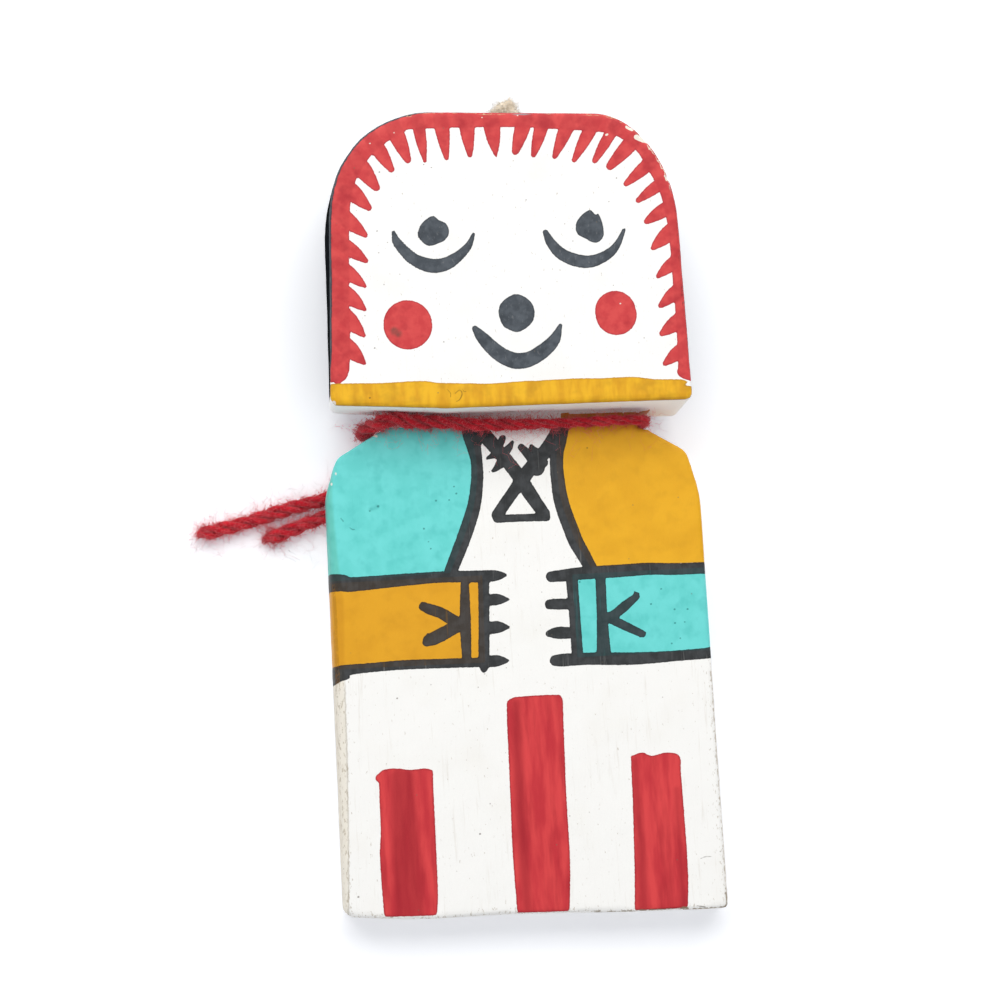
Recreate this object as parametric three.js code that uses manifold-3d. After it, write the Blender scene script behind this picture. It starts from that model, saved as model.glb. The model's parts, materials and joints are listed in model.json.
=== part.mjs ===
// A flat carved doll, painted in front, lying on its back: one board with a thick head and a thin body,
// a length of wool yarn tied round its neck and a small tuft of wool in its crown.
import * as THREE from 'three';
import { mergeVertices } from 'three/addons/utils/BufferGeometryUtils.js';
import Module from 'manifold-3d';

const wasm = await Module();
wasm.setup();

// Driving dimensions in millimetres, in the board's own frame: x across it, y up the doll from the
// middle of its lower edge, z from its flat back to its front.
const bodyThickness = 9;
const headThickness = 19;

// The body's sides, at the foot and at the shoulder, and its lower edge, sawn a little out of square
const bodyLeftAtFoot = -40.1;
const bodyRightAtFoot = 40.8;
const bodyLeftAtShoulder = -39.05;
const bodyRightAtShoulder = 40.75;
const footAtLeft = 2.4;
const footAtRight = -1.4;
const footRoundLeft = 2.0;
const footRoundRight = 1.2;

// The height of the jaw, from which the neck and the shoulders are measured down
const jawMiddle = 105.9;

// The shoulders slope from the neck to a bend, and turn from there into the sides
const neckLeft = -24.5;
const neckRight = 31.0;
const shoulderTopLeft = jawMiddle - 1.5;
const shoulderTopRight = jawMiddle - 5.6;
const shoulderBendLeft = new THREE.Vector2(-36.6, jawMiddle - 8.2);
const shoulderBendRight = new THREE.Vector2(38.4, jawMiddle - 10.1);
const shoulderBendRound = 3.6;
const shoulderEndLeft = jawMiddle - 15.9;
const shoulderEndLeftRound = 12;
const shoulderEndRight = jawMiddle - 19.4;
const shoulderEndRightRound = 20;

// The head: its jaw, its sides from the jaw to the temples, and the two rounded corners of its crown
const jawRiseLeft = 1.7;
const jawDropRight = 0.3;
const jawMiddleX = -14;
const jawRound = 1.5;
const jawLeanLeft = -0.8;
const jawLeanRight = 1.4;
const jawBlend = 6;
const leftSideLean = 1.0;
const neckInHead = 4;
const headLeftAtJaw = -37.9;
const headRightAtJaw = 38.6;
const headLeftAtTemple = -36.1;
const headRightAtTemple = 38.1;
const templeLeft = 144.3;
const templeRight = 143.3;
const crownLeft = 168.8;
const crownRight = 167.5;
const crownCornerLeft = 21.9;
const crownCornerRight = 17.6;

// The rounding of the edges, widest where the body's left edge was pared away in front
const headFrontRound = 1.0;
const headBackRound = 1.4;
const bodyFrontRound = 0.7;
const bodyBackRound = 1.0;
const paredEdge = 2.0;
const paredEdgeAtFoot = 0.8;
const paredBlend = 6;

// The yarn, the groove in the right side of the neck that holds it, and its knot behind the neck
const yarnDiameter = 3.2;
const clearance = 0.3;
const grooveDepth = 3.2;
const grooveMiddle = jawMiddle - 3.2;
const knotX = 4;
const knotY = grooveMiddle - 0.4;
const knotDepth = 4.6;
const knotLength = 9.2;
const knotWidth = 7.4;
const knotFullness = 1.35;
const collarDiameter = 3.8;
const grooveSpare = 0.1;
const loopSpare = 0.05;

// The tuft of wool and the hole in the crown that it is pressed into
const tuftX = 3.5;
const tuftZ = 10.5;
const tuftHeight = 5.5;
const tuftWidth = 5.8;
const tuftStem = 3.9;
const tuftStemDepth = 3.4;
const tuftFootShare = 0.86;
const holeSpare = 0.5;

// The fineness of the facets
const arcStep = Math.PI / 14;
const edgeSteps = 3;
const longestEdge = 9;
const shortestEdge = 0.01;
const smallestTurn = arcStep / 4;
const longestMitre = 1.4;
const cornerSteps = 16;
const holeSides = 20;
const tuftSides = 16;
const domeSteps = 7;
const knotSides = 16;
const knotRings = 10;
const yarnSides = 8;
const loopSteps = 76;
const stepsPerTailPoint = 1.6;

// The wool's free ends, chosen by hand: across and up the table from the middle of the knot
const longTail = [
  [-5.9, -1.4], [-10, -2.2], [-15, -3.5], [-20, -4.9], [-25, -6.4], [-30, -8.0], [-35, -9.5],
  [-39.5, -11.0], [-44, -12.2], [-48.5, -13.1], [-53, -14.2], [-57.5, -15.5], [-62, -16.6],
  [-66.5, -17.5], [-70.4, -18.1],
];
const shortTail = [
  [-3.4, -4.7], [-7.5, -5.9], [-12, -7.3], [-16.5, -8.7], [-21, -9.9], [-25.5, -11.0], [-30, -12.1],
  [-34.5, -13.2], [-38.5, -14.3], [-42, -15.4], [-45.5, -16.5], [-49, -17.7], [-52.5, -18.9],
  [-56.2, -19.9],
];

const yarnRadius = yarnDiameter / 2;
const yarnOffset = yarnRadius + clearance;
const footSlope = Math.atan2(footAtRight - footAtLeft, bodyRightAtFoot - bodyLeftAtFoot);
const tilt = Math.atan2(knotDepth, knotY);

// Outlines

function roundedCorners(corners) {
  // Turns a list of corners, each with its own rounding, into points that run along its arcs
  const points = [];
  corners.forEach((corner, i) => {
    const here = new THREE.Vector2(corner.x, corner.y);
    const before = corners[(i + corners.length - 1) % corners.length];
    const after = corners[(i + 1) % corners.length];
    const inward = new THREE.Vector2(before.x, before.y).sub(here).normalize();
    const onward = new THREE.Vector2(after.x, after.y).sub(here).normalize();
    const opening = Math.acos(THREE.MathUtils.clamp(inward.dot(onward), -1, 1));
    const turn = Math.PI - opening;
    if (!corner.round || turn < smallestTurn) {
      points.push(here);
      return;
    }
    const reach = corner.round * Math.tan(turn / 2);
    const start = here.clone().addScaledVector(inward, reach);
    const bisector = inward.clone().add(onward).normalize();
    const centre = here.clone().addScaledVector(bisector, corner.round / Math.cos(turn / 2));
    const steps = Math.max(2, Math.ceil(turn / arcStep));
    const sense = Math.sign(inward.clone().negate().cross(onward));
    for (let k = 0; k <= steps; k += 1) {
      points.push(start.clone().rotateAround(centre, (sense * turn * k) / steps));
    }
  });
  return points;
}

function withShortEdges(points) {
  // Divides the long straight runs, so that a rounding can change along them
  const divided = [];
  points.forEach((point, i) => {
    const next = points[(i + 1) % points.length];
    const count = Math.ceil((point.distanceTo(next) - shortestEdge) / longestEdge);
    for (let k = 0; k < count; k += 1) {
      divided.push(point.clone().lerp(next, k / count));
    }
  });
  return divided;
}

function quarterEllipse(centre, across, up, from) {
  const points = [];
  for (let k = 0; k <= cornerSteps; k += 1) {
    const angle = from + (k / cornerSteps) * (Math.PI / 2);
    points.push(new THREE.Vector2(centre.x + across * Math.cos(angle), centre.y + up * Math.sin(angle)));
  }
  return points;
}

function bodyOutline() {
  const topInHead = jawMiddle + jawRiseLeft + neckInHead;
  return withShortEdges(roundedCorners([
    { x: bodyLeftAtFoot, y: footAtLeft, round: footRoundLeft },
    { x: bodyRightAtFoot, y: footAtRight, round: footRoundRight },
    { x: bodyRightAtShoulder, y: shoulderEndRight, round: shoulderEndRightRound },
    { x: shoulderBendRight.x, y: shoulderBendRight.y, round: shoulderBendRound },
    { x: neckRight, y: shoulderTopRight },
    { x: neckRight, y: topInHead },
    { x: neckLeft, y: topInHead },
    { x: neckLeft, y: shoulderTopLeft },
    { x: shoulderBendLeft.x, y: shoulderBendLeft.y, round: shoulderBendRound },
    { x: bodyLeftAtShoulder, y: shoulderEndLeft, round: shoulderEndLeftRound },
  ]));
}

function headOutline() {
  const rightCorner = new THREE.Vector2(headRightAtTemple - crownCornerRight, templeRight);
  const leftCorner = new THREE.Vector2(headLeftAtTemple + crownCornerLeft, templeLeft);
  const jaw = roundedCorners([
    { x: leftCorner.x, y: leftCorner.y },
    { x: headLeftAtTemple, y: templeLeft },
    { x: headLeftAtJaw, y: jawMiddle + jawRiseLeft, round: jawRound },
    { x: jawMiddleX, y: jawMiddle },
    { x: headRightAtJaw, y: jawMiddle - jawDropRight, round: jawRound },
    { x: headRightAtTemple, y: templeRight },
    { x: rightCorner.x, y: rightCorner.y },
  ]).slice(2, -2);
  const right = quarterEllipse(rightCorner, crownCornerRight, crownRight - templeRight, 0);
  const left = quarterEllipse(leftCorner, crownCornerLeft, crownLeft - templeLeft, Math.PI / 2);
  return withShortEdges([...jaw, ...right, ...left]);
}

// Solids

function slab(outline, thickness, backRound, frontRoundAt, moveWithDepth) {
  // A board of this outline, with its back and front edges rounded
  const outward = outline.map((point, i) => {
    const before = outline[(i + outline.length - 1) % outline.length];
    const after = outline[(i + 1) % outline.length];
    const first = point.clone().sub(before).normalize();
    const second = after.clone().sub(point).normalize();
    const normal = new THREE.Vector2(first.y + second.y, -first.x - second.x).normalize();
    const mitre = 1 / normal.dot(new THREE.Vector2(first.y, -first.x));
    return normal.multiplyScalar(Math.min(longestMitre, mitre));
  });
  const rings = [];
  for (let k = 0; k <= edgeSteps; k += 1) {
    const angle = (k / edgeSteps) * (Math.PI / 2);
    rings.push(() => ({ inset: backRound * (1 - Math.sin(angle)), z: backRound * (1 - Math.cos(angle)) }));
  }
  for (let k = 0; k <= edgeSteps; k += 1) {
    const angle = (k / edgeSteps) * (Math.PI / 2);
    rings.push((point) => {
      const round = frontRoundAt(point);
      return { inset: round * (1 - Math.cos(angle)), z: thickness - round * (1 - Math.sin(angle)) };
    });
  }
  const positions = [];
  rings.forEach((ring) => {
    outline.forEach((point, i) => {
      const { inset, z } = ring(point);
      const spot = point.clone().addScaledVector(outward[i], -inset);
      const moved = moveWithDepth(spot, z);
      positions.push(moved.x, moved.y, z);
    });
  });
  const count = outline.length;
  const indices = [];
  for (let ring = 0; ring < rings.length - 1; ring += 1) {
    for (let i = 0; i < count; i += 1) {
      const next = (i + 1) % count;
      const low = ring * count;
      const high = low + count;
      indices.push(low + i, low + next, high + next, low + i, high + next, high + i);
    }
  }
  // Each face is a fan about its middle, which sees the whole outline
  const last = (rings.length - 1) * count;
  const middle = new THREE.Box2().setFromPoints(outline).getCenter(new THREE.Vector2());
  const back = positions.length / 3;
  positions.push(middle.x, middle.y, 0, middle.x, middle.y, thickness);
  for (let i = 0; i < count; i += 1) {
    const next = (i + 1) % count;
    indices.push(next, i, back, last + i, last + next, back + 1);
  }
  const geometry = new THREE.BufferGeometry();
  geometry.setAttribute('position', new THREE.Float32BufferAttribute(positions, 3));
  geometry.setIndex(indices);
  return geometry;
}

function toSolid(geometry) {
  const bare = geometry.clone();
  bare.deleteAttribute('normal');
  bare.deleteAttribute('uv');
  const merged = mergeVertices(bare, 1e-4);
  return new wasm.Manifold(new wasm.Mesh({
    numProp: 3,
    vertProperties: new Float32Array(merged.attributes.position.array),
    triVerts: new Uint32Array(merged.index.array),
  }));
}

function toGeometry(solid) {
  const mesh = solid.getMesh();
  const geometry = new THREE.BufferGeometry();
  geometry.setAttribute('position', new THREE.Float32BufferAttribute(mesh.vertProperties, 3));
  geometry.setIndex(Array.from(mesh.triVerts));
  geometry.computeVertexNormals();
  return geometry;
}

function tube(points, steps) {
  const section = new THREE.Shape();
  for (let k = 0; k < yarnSides; k += 1) {
    const angle = ((k + 0.5) / yarnSides) * 2 * Math.PI;
    const x = yarnRadius * Math.cos(angle);
    const y = yarnRadius * Math.sin(angle);
    if (k === 0) section.moveTo(x, y);
    else section.lineTo(x, y);
  }
  section.closePath();
  const path = new THREE.CatmullRomCurve3(points, false, 'centripetal');
  return new THREE.ExtrudeGeometry(section, { steps, extrudePath: path, bevelEnabled: false });
}

// The carved board

function headLean(spot, z) {
  // The saw that cut the jaw leaned: towards the back it runs lower on the right and higher on the left,
  // and the left side leans in behind the jaw
  const depth = 1 - z / headThickness;
  const along = (spot.x - headLeftAtJaw) / (headRightAtJaw - headLeftAtJaw);
  const jawTop = jawMiddle + jawRiseLeft;
  const underJaw = 1 - THREE.MathUtils.smoothstep(spot.y, jawTop, jawTop + jawBlend);
  const rise = -THREE.MathUtils.lerp(jawLeanLeft, jawLeanRight, along) * underJaw * depth;
  const onLeft = THREE.MathUtils.smoothstep(-spot.x, 0, -headLeftAtTemple);
  const belowTemple = THREE.MathUtils.clamp((templeLeft - spot.y) / (templeLeft - jawMiddle), 0, 1);
  const shift = leftSideLean * onLeft * belowTemple * depth;
  return new THREE.Vector2(spot.x + shift, spot.y + rise);
}

function bodyEdge(point) {
  // The left edge was pared away most at the shoulder and least at the foot
  const onLeft = THREE.MathUtils.smoothstep(-point.x, -neckLeft, -shoulderBendLeft.x);
  const height = THREE.MathUtils.smoothstep(point.y, footAtLeft, shoulderEndLeft / 2);
  const pared = THREE.MathUtils.lerp(paredEdgeAtFoot, paredEdge, height);
  const belowBend = THREE.MathUtils.smoothstep(shoulderBendLeft.y - point.y, 0, paredBlend);
  return THREE.MathUtils.lerp(bodyFrontRound, pared, onLeft * belowBend);
}

function groove() {
  // A slot with a round floor, across the whole edge of the neck
  const radius = yarnOffset + grooveSpare;
  const floor = neckRight - grooveDepth + radius;
  const outside = neckRight + 2 * grooveDepth;
  const shape = new THREE.Shape();
  shape.moveTo(floor, grooveMiddle + radius);
  shape.absarc(floor, grooveMiddle, radius, Math.PI / 2, Math.PI * 1.5, false);
  shape.lineTo(outside, grooveMiddle - radius);
  shape.lineTo(outside, grooveMiddle + radius);
  shape.closePath();
  const margin = 5;
  const depth = bodyThickness + 2 * margin;
  const geometry = new THREE.ExtrudeGeometry(shape, { depth, bevelEnabled: false, curveSegments: 8 });
  geometry.translate(0, 0, -margin);
  return geometry;
}

function crownAt(x) {
  const from = headLeftAtTemple + crownCornerLeft;
  const to = headRightAtTemple - crownCornerRight;
  return THREE.MathUtils.mapLinear(x, from, to, crownLeft, crownRight);
}

function tuftHole() {
  const radius = tuftStem / 2 + clearance;
  const depth = tuftStemDepth + holeSpare;
  const above = 5;
  const geometry = new THREE.CylinderGeometry(radius, radius, depth + above, holeSides);
  geometry.translate(tuftX, crownAt(tuftX) + (above - depth) / 2, tuftZ);
  return geometry;
}

function carvedFigure() {
  const body = toSolid(slab(bodyOutline(), bodyThickness, bodyBackRound, bodyEdge, (spot) => spot));
  const head = toSolid(slab(headOutline(), headThickness, headBackRound, () => headFrontRound, headLean));
  // The groove ends under the jaw, so that it takes nothing from the head
  const notched = body.subtract(toSolid(groove()));
  return toGeometry(notched.add(head).subtract(toSolid(tuftHole())));
}

// The tuft

function crownTuft() {
  const stem = tuftStem / 2;
  const half = tuftWidth / 2;
  const profile = [
    new THREE.Vector2(0, -tuftStemDepth),
    new THREE.Vector2(stem, -tuftStemDepth),
    new THREE.Vector2(stem, clearance),
  ];
  // A dome that stands almost upright from the crown and closes in a round top
  const shoulder = clearance + tuftHeight - half;
  profile.push(new THREE.Vector2(half * tuftFootShare, clearance));
  for (let k = 0; k < domeSteps; k += 1) {
    const angle = (k / domeSteps) * (Math.PI / 2);
    profile.push(new THREE.Vector2(half * Math.cos(angle), shoulder + half * Math.sin(angle)));
  }
  profile.push(new THREE.Vector2(0, clearance + tuftHeight));
  const geometry = new THREE.LatheGeometry(profile, tuftSides);
  geometry.translate(tuftX, crownAt(tuftX), tuftZ);
  return toGeometry(toSolid(geometry));
}

// The yarn round the neck

function besideSlope(along, away, z) {
  // A place beside the left shoulder's slope: so far down it from the neck, so far out from it
  const top = new THREE.Vector2(neckLeft, shoulderTopLeft);
  const down = shoulderBendLeft.clone().sub(top).normalize();
  const out = new THREE.Vector2(down.y, -down.x);
  const spot = top.addScaledVector(down, along).addScaledVector(out, away);
  return new THREE.Vector3(spot.x, spot.y, z);
}

function neckLoop() {
  // From the knot to the right, up through the groove, across the front and down over the left shoulder
  const near = yarnOffset + loopSpare;
  const diagonal = near * Math.SQRT1_2;
  const grooveFloor = neckRight - grooveDepth;
  const front = bodyThickness + near;
  const frontY = [
    [24, grooveMiddle + 0.1], [14, grooveMiddle - 0.2], [3, grooveMiddle - 0.3], [-7, grooveMiddle],
    [-14, grooveMiddle + 0.8], [-20, shoulderTopLeft - 0.6],
  ];
  return [
    new THREE.Vector3(knotX, knotY, -near),
    new THREE.Vector3(knotX + 8, knotY + 0.2, -near),
    new THREE.Vector3(knotX + 16, grooveMiddle, -near),
    new THREE.Vector3(grooveFloor - 0.5, grooveMiddle, -near),
    new THREE.Vector3(grooveFloor + diagonal, grooveMiddle, -diagonal),
    new THREE.Vector3(grooveFloor + near, grooveMiddle, 0.6),
    new THREE.Vector3(grooveFloor + near, grooveMiddle, bodyThickness / 2),
    new THREE.Vector3(grooveFloor + near, grooveMiddle, bodyThickness - 0.6),
    new THREE.Vector3(grooveFloor + diagonal, grooveMiddle, bodyThickness + diagonal),
    new THREE.Vector3(grooveFloor - 0.5, grooveMiddle, front),
    ...frontY.map(([x, y]) => new THREE.Vector3(x, y, front)),
    besideSlope(-0.6, 0, front),
    besideSlope(1.9, diagonal, bodyThickness + diagonal),
    besideSlope(3.6, near, bodyThickness - 1.2),
    besideSlope(4.9, near, bodyThickness * 0.6),
    besideSlope(5.5, near, bodyThickness * 0.3),
    besideSlope(5.4, near, 0.7),
    besideSlope(4.8, diagonal, -diagonal),
    besideSlope(3.2, -1.0, -near),
    new THREE.Vector3(-19, knotY + 2.0, -near),
    new THREE.Vector3(-8, knotY + 2.4, -near),
    new THREE.Vector3(-2, knotY + 2.1, -near),
    new THREE.Vector3(knotX, knotY + 0.8, -near),
  ];
}

function lump(x, y, z, length, width, height) {
  const geometry = new THREE.SphereGeometry(0.5, knotSides, knotRings);
  geometry.scale(length, width, height);
  geometry.translate(x, y, z);
  return toSolid(geometry);
}

function towards(from, to) {
  return new THREE.Vector2(to[0] - from[0], to[1] - from[1]).normalize();
}

function collar(tail) {
  // Where a free end leaves the knot: a round collar, a clearance short of the end's first point
  const back = towards(tail[1], tail[0]);
  const reach = collarDiameter / 2 + clearance;
  const height = -yarnOffset - (knotDepth - yarnDiameter) / 2;
  const x = knotX + tail[0][0] + back.x * reach;
  const y = knotY + tail[0][1] + back.y * reach;
  return lump(x, y, height, collarDiameter, collarDiameter, collarDiameter);
}

function neckYarn(table) {
  const loop = toSolid(tube(neckLoop(), loopSteps));
  const height = knotDepth - clearance;
  const middle = -clearance - height / 2;
  const knot = lump(knotX, knotY, middle, knotLength, knotWidth, height * knotFullness)
    .add(collar(longTail))
    .add(collar(shortTail));
  // The knot is pressed between the table and the back of the neck, and both flatten it
  const wide = 60;
  const underBack = new THREE.BoxGeometry(wide, wide, wide);
  underBack.translate(knotX, knotY, -clearance - wide / 2);
  const pressed = knot.intersect(toSolid(underBack)).intersect(toSolid(table));
  return toGeometry(loop.add(pressed));
}

// The free ends

function tail(points) {
  const onTable = points.map(([x, y]) => new THREE.Vector3(knotX + x, knotY + y, yarnRadius));
  return toGeometry(toSolid(tube(onTable, Math.round(points.length * stepsPerTailPoint))));
}

// The whole doll

function piece(name, geometry, colour, roughness) {
  const material = new THREE.MeshStandardMaterial({ color: colour, roughness, metalness: 0 });
  const mesh = new THREE.Mesh(geometry, material);
  mesh.name = name;
  return mesh;
}

function leaning() {
  // Leans the board back about its own lower edge, which isn't quite square to it
  const turned = new THREE.Matrix4().makeRotationZ(footSlope);
  turned.multiply(new THREE.Matrix4().makeRotationX(tilt));
  return turned.multiply(new THREE.Matrix4().makeRotationZ(-footSlope));
}

const figure = piece('carved_figure', carvedFigure(), '#f2eee6', 0.7);
const lean = leaning();
const lowest = new THREE.Box3().setFromObject(
  new THREE.Mesh(figure.geometry.clone().applyMatrix4(lean)),
).min.z;

// The space above the table, seen from the leaning board
const room = 4 * crownLeft;
const aboveTable = new THREE.BoxGeometry(room, room, room);
aboveTable.translate(0, grooveMiddle, lowest + room / 2);
aboveTable.applyMatrix4(lean.clone().invert());

const board = new THREE.Group();
board.add(figure);
board.add(piece('crown_tuft', crownTuft(), '#e9e0d6', 1));
board.add(piece('neck_yarn', neckYarn(aboveTable), '#b3212e', 1));
board.setRotationFromMatrix(lean);

const onTable = new THREE.Group();
onTable.add(piece('yarn_tail_long', tail(longTail), '#b3212e', 1));
onTable.add(piece('yarn_tail_short', tail(shortTail), '#b3212e', 1));
onTable.position.z = lowest;

// The origin is on the table, under the middle of all but the free ends
board.updateMatrixWorld(true);
const box = new THREE.Box3().setFromObject(board, true);
const doll = new THREE.Group();
doll.add(board, onTable);
doll.position.set(-(box.min.x + box.max.x) / 2, -(box.min.y + box.max.y) / 2, -box.min.z);

const part = new THREE.Group();
part.add(doll);

export default part;
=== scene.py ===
# %% [markdown]
# # A painted doll with a wool yarn round its neck
# The real thing is a board, sawn and pared to the outline of a doll, primed white and painted on the
# front with a brush and thin paint. A length of red wool is tied round its neck, and a pinch of cream
# wool is pressed into its crown. It lies on its back. The solids come ready made from the frame, and
# this notebook gives them their surfaces: the paint, the wool and the light.

# %% Load the frame
import json
import math

import bmesh
import bpy
import numpy as np
from mathutils import Matrix, Vector
from mathutils.bvhtree import BVHTree
from mathutils.kdtree import KDTree


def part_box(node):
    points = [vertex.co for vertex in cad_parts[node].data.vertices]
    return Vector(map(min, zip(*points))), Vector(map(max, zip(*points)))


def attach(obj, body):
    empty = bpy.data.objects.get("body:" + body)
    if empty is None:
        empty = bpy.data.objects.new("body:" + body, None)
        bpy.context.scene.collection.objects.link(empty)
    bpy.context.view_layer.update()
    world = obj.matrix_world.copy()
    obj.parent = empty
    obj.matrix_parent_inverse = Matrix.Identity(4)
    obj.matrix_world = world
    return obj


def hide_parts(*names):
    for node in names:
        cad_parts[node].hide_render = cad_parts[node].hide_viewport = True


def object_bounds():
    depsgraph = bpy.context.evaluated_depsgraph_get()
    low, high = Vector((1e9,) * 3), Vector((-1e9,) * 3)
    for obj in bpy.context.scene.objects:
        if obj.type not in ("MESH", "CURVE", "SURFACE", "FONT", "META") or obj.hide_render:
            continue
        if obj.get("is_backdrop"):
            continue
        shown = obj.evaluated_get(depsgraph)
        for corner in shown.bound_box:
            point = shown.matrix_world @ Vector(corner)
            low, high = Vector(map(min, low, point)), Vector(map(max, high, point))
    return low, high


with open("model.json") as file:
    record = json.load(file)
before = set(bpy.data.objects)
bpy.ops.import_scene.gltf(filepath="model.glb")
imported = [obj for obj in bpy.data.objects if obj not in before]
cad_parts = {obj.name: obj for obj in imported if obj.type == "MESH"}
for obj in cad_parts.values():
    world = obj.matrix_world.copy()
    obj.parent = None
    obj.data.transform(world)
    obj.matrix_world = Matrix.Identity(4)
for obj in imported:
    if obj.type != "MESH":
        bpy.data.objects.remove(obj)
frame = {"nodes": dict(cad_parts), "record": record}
cad_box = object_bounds()
print("The frame has the nodes", ", ".join(sorted(frame["nodes"])))

# %% [markdown]
# The board leans back a little over its knot, so its own axes aren't the room's. Everything painted on
# it is easier to place on the board itself: x across, y up from the middle of its lower edge, z out of
# its flat back, in millimetres. The record's mount is a point of that back with its direction, and
# the smallest turn that lays the room's upright along the board's front gives the rest.

# %% The board's own axes
MM = 0.001
MOUNT_HEIGHT = 52.0
BODY_FRONT = 9.0
HEAD_FRONT = 19.0

back_mount = next(item for item in frame["record"]["mounts"] if item["name"] == "flat_back")
board_front = -Vector(back_mount["axis"])
board_turn = Vector((0, 0, 1)).rotation_difference(board_front).to_matrix().to_4x4()
board_place = Matrix.Translation(Vector(back_mount["pos_m"])) @ board_turn
board_place = board_place @ Matrix.Translation((0, -MOUNT_HEIGHT * MM, 0)) @ Matrix.Scale(MM, 4)
print("The board leans back by", round(math.degrees(board_front.angle(Vector((0, 0, 1)))), 2), "degrees")


def on_board(x, y, z):
    """A point of the board, in the frame's metres."""
    return board_place @ Vector((x, y, z))


# %% [markdown]
# The camera looks straight down at the table from a little below and to the left of the doll, so it
# sees a strip of the left side and of the lower edge of the head. A long lens keeps the board's sides
# almost parallel. Its place is given over the board, because that is where it can be measured. The
# plain view transform shows each paint as its hex colour says, where the filmic one would pale it.

# %% Camera
CAMERA_SPOT = (-70.6, 33.5, 552.9)
CAMERA_AIM = (-2.49, 87.17, 9.0)
CAMERA_UPWARD = (0.04899, 0.99336, 0.10407)
SENSOR = 36.0
IMAGE_SIDE = 1000
FOCAL_PIXELS = 2600

camera_data = bpy.data.cameras.new("camera")
camera_data.sensor_width = SENSOR
camera_data.lens = SENSOR * FOCAL_PIXELS / IMAGE_SIDE
camera_data.clip_start = 0.01
camera = bpy.data.objects.new("camera", camera_data)
bpy.context.scene.collection.objects.link(camera)
bpy.context.scene.camera = camera
bpy.context.scene.view_settings.view_transform = "Standard"

spot = on_board(*CAMERA_SPOT)
backward = (spot - on_board(*CAMERA_AIM)).normalized()
upward = board_turn.to_3x3() @ Vector(CAMERA_UPWARD)
rightward = upward.cross(backward).normalized()
upward = backward.cross(rightward)
turn = Matrix((rightward, upward, backward)).transposed().to_4x4()
camera.matrix_world = Matrix.Translation(spot) @ turn
print("Camera with a lens of", round(camera_data.lens, 1), "mm")

# %% [markdown]
# Three helpers are used by everything that follows. Colours are written as the hex values that a
# paint chart shows, and the shaders want them linear. Nodes, of materials and of geometry alike, are
# added with their settings and links in one call, and each material starts from a bare shader.

# %% Helpers for colours and nodes


def linear(code):
    """Turns an sRGB hex colour into the linear colour that a shader works with."""
    shares = [int(code[i : i + 2], 16) / 255 for i in (1, 3, 5)]
    return tuple(s / 12.92 if s <= 0.04045 else ((s + 0.055) / 1.055) ** 2.4 for s in shares) + (1.0,)


def add(tree, kind, inputs=None, **settings):
    """Adds a node to a tree with its settings. Each input is a value, or a socket to link from."""
    node = tree.nodes.new(kind)
    for name, value in settings.items():
        setattr(node, name, value)
    for key, value in (inputs or {}).items():
        if isinstance(value, bpy.types.NodeSocket):
            tree.links.new(value, node.inputs[key])
        else:
            node.inputs[key].default_value = value
    return node


def new_material(name):
    """An empty material with a Principled shader, and the shader itself."""
    material = bpy.data.materials.new(name)
    material.use_nodes = True
    tree = material.node_tree
    tree.nodes.clear()
    shader = add(tree, "ShaderNodeBsdfPrincipled")
    output = add(tree, "ShaderNodeOutputMaterial")
    tree.links.new(shader.outputs["BSDF"], output.inputs["Surface"])
    return material, tree, shader


# %% [markdown]
# The wool's free ends come out from under the neck and lie on the table. A cord is first of all a line:
# these points are the same as in the solid model, across and up the table from the knot, and a smooth
# curve through them is the middle of the yarn.

# %% The route of the wool
YARN_DIAMETER = 3.2
YARN_RADIUS = YARN_DIAMETER / 2
CLEARANCE = 0.3
KNOT_X = 4.0
KNOT_Y = 102.3
KNOT_DEPTH = 4.6
LYING_HEIGHT = YARN_RADIUS + 0.15

LONG_TAIL = [
    (-5.9, -1.4), (-10, -2.2), (-15, -3.5), (-20, -4.9), (-25, -6.4), (-30, -8.0), (-35, -9.5),
    (-39.5, -11.0), (-44, -12.2), (-48.5, -13.1), (-53, -14.2), (-57.5, -15.5), (-62, -16.6),
    (-66.5, -17.5), (-70.4, -18.1),
]
SHORT_TAIL = [
    (-3.4, -4.7), (-7.5, -5.9), (-12, -7.3), (-16.5, -8.7), (-21, -9.9), (-25.5, -11.0), (-30, -12.1),
    (-34.5, -13.2), (-38.5, -14.3), (-42, -15.4), (-45.5, -16.5), (-49, -17.7), (-52.5, -18.9),
    (-56.2, -19.9),
]


def smoothstep(values, low, high):
    share = np.clip((values - low) / (high - low), 0, 1)
    return share * share * (3 - 2 * share)


def smooth(points, steps=6, closed=False):
    """A smooth line through the points, which may carry more numbers than places, such as a width."""
    marks = np.array(points, float)
    count = len(marks)
    spans = count if closed else count - 1
    line = []
    for k in range(spans):
        if closed:
            a, b, c, d = (marks[(k + i) % count] for i in (-1, 0, 1, 2))
        else:
            b, c = marks[k], marks[k + 1]
            a = marks[k - 1] if k > 0 else 2 * b - c
            d = marks[k + 2] if k + 2 < count else 2 * c - b
        for t in np.arange(steps) / steps:
            square = (2 * a - 5 * b + 4 * c - d) * t**2
            cube = (3 * b - a - 3 * c + d) * t**3
            line.append(0.5 * (2 * b + (c - a) * t + square + cube))
    if not closed:
        line.append(marks[-1])
    return np.array(line)


def on_table(tail):
    """A free end's line, in the frame's metres, at the height at which it lies."""
    knot = on_board(KNOT_X, KNOT_Y, 0)
    line = smooth([(x, y) for x, y in tail], steps=4)
    return [Vector((knot.x + x * MM, knot.y + y * MM, LYING_HEIGHT * MM)) for x, y in line]


def line_length(points):
    return sum((b - a).length for a, b in zip(points, points[1:]))


long_path = on_table(LONG_TAIL)
short_path = on_table(SHORT_TAIL)
print("The free ends are", [round(line_length(path), 4) for path in (long_path, short_path)], "m long")

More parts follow.
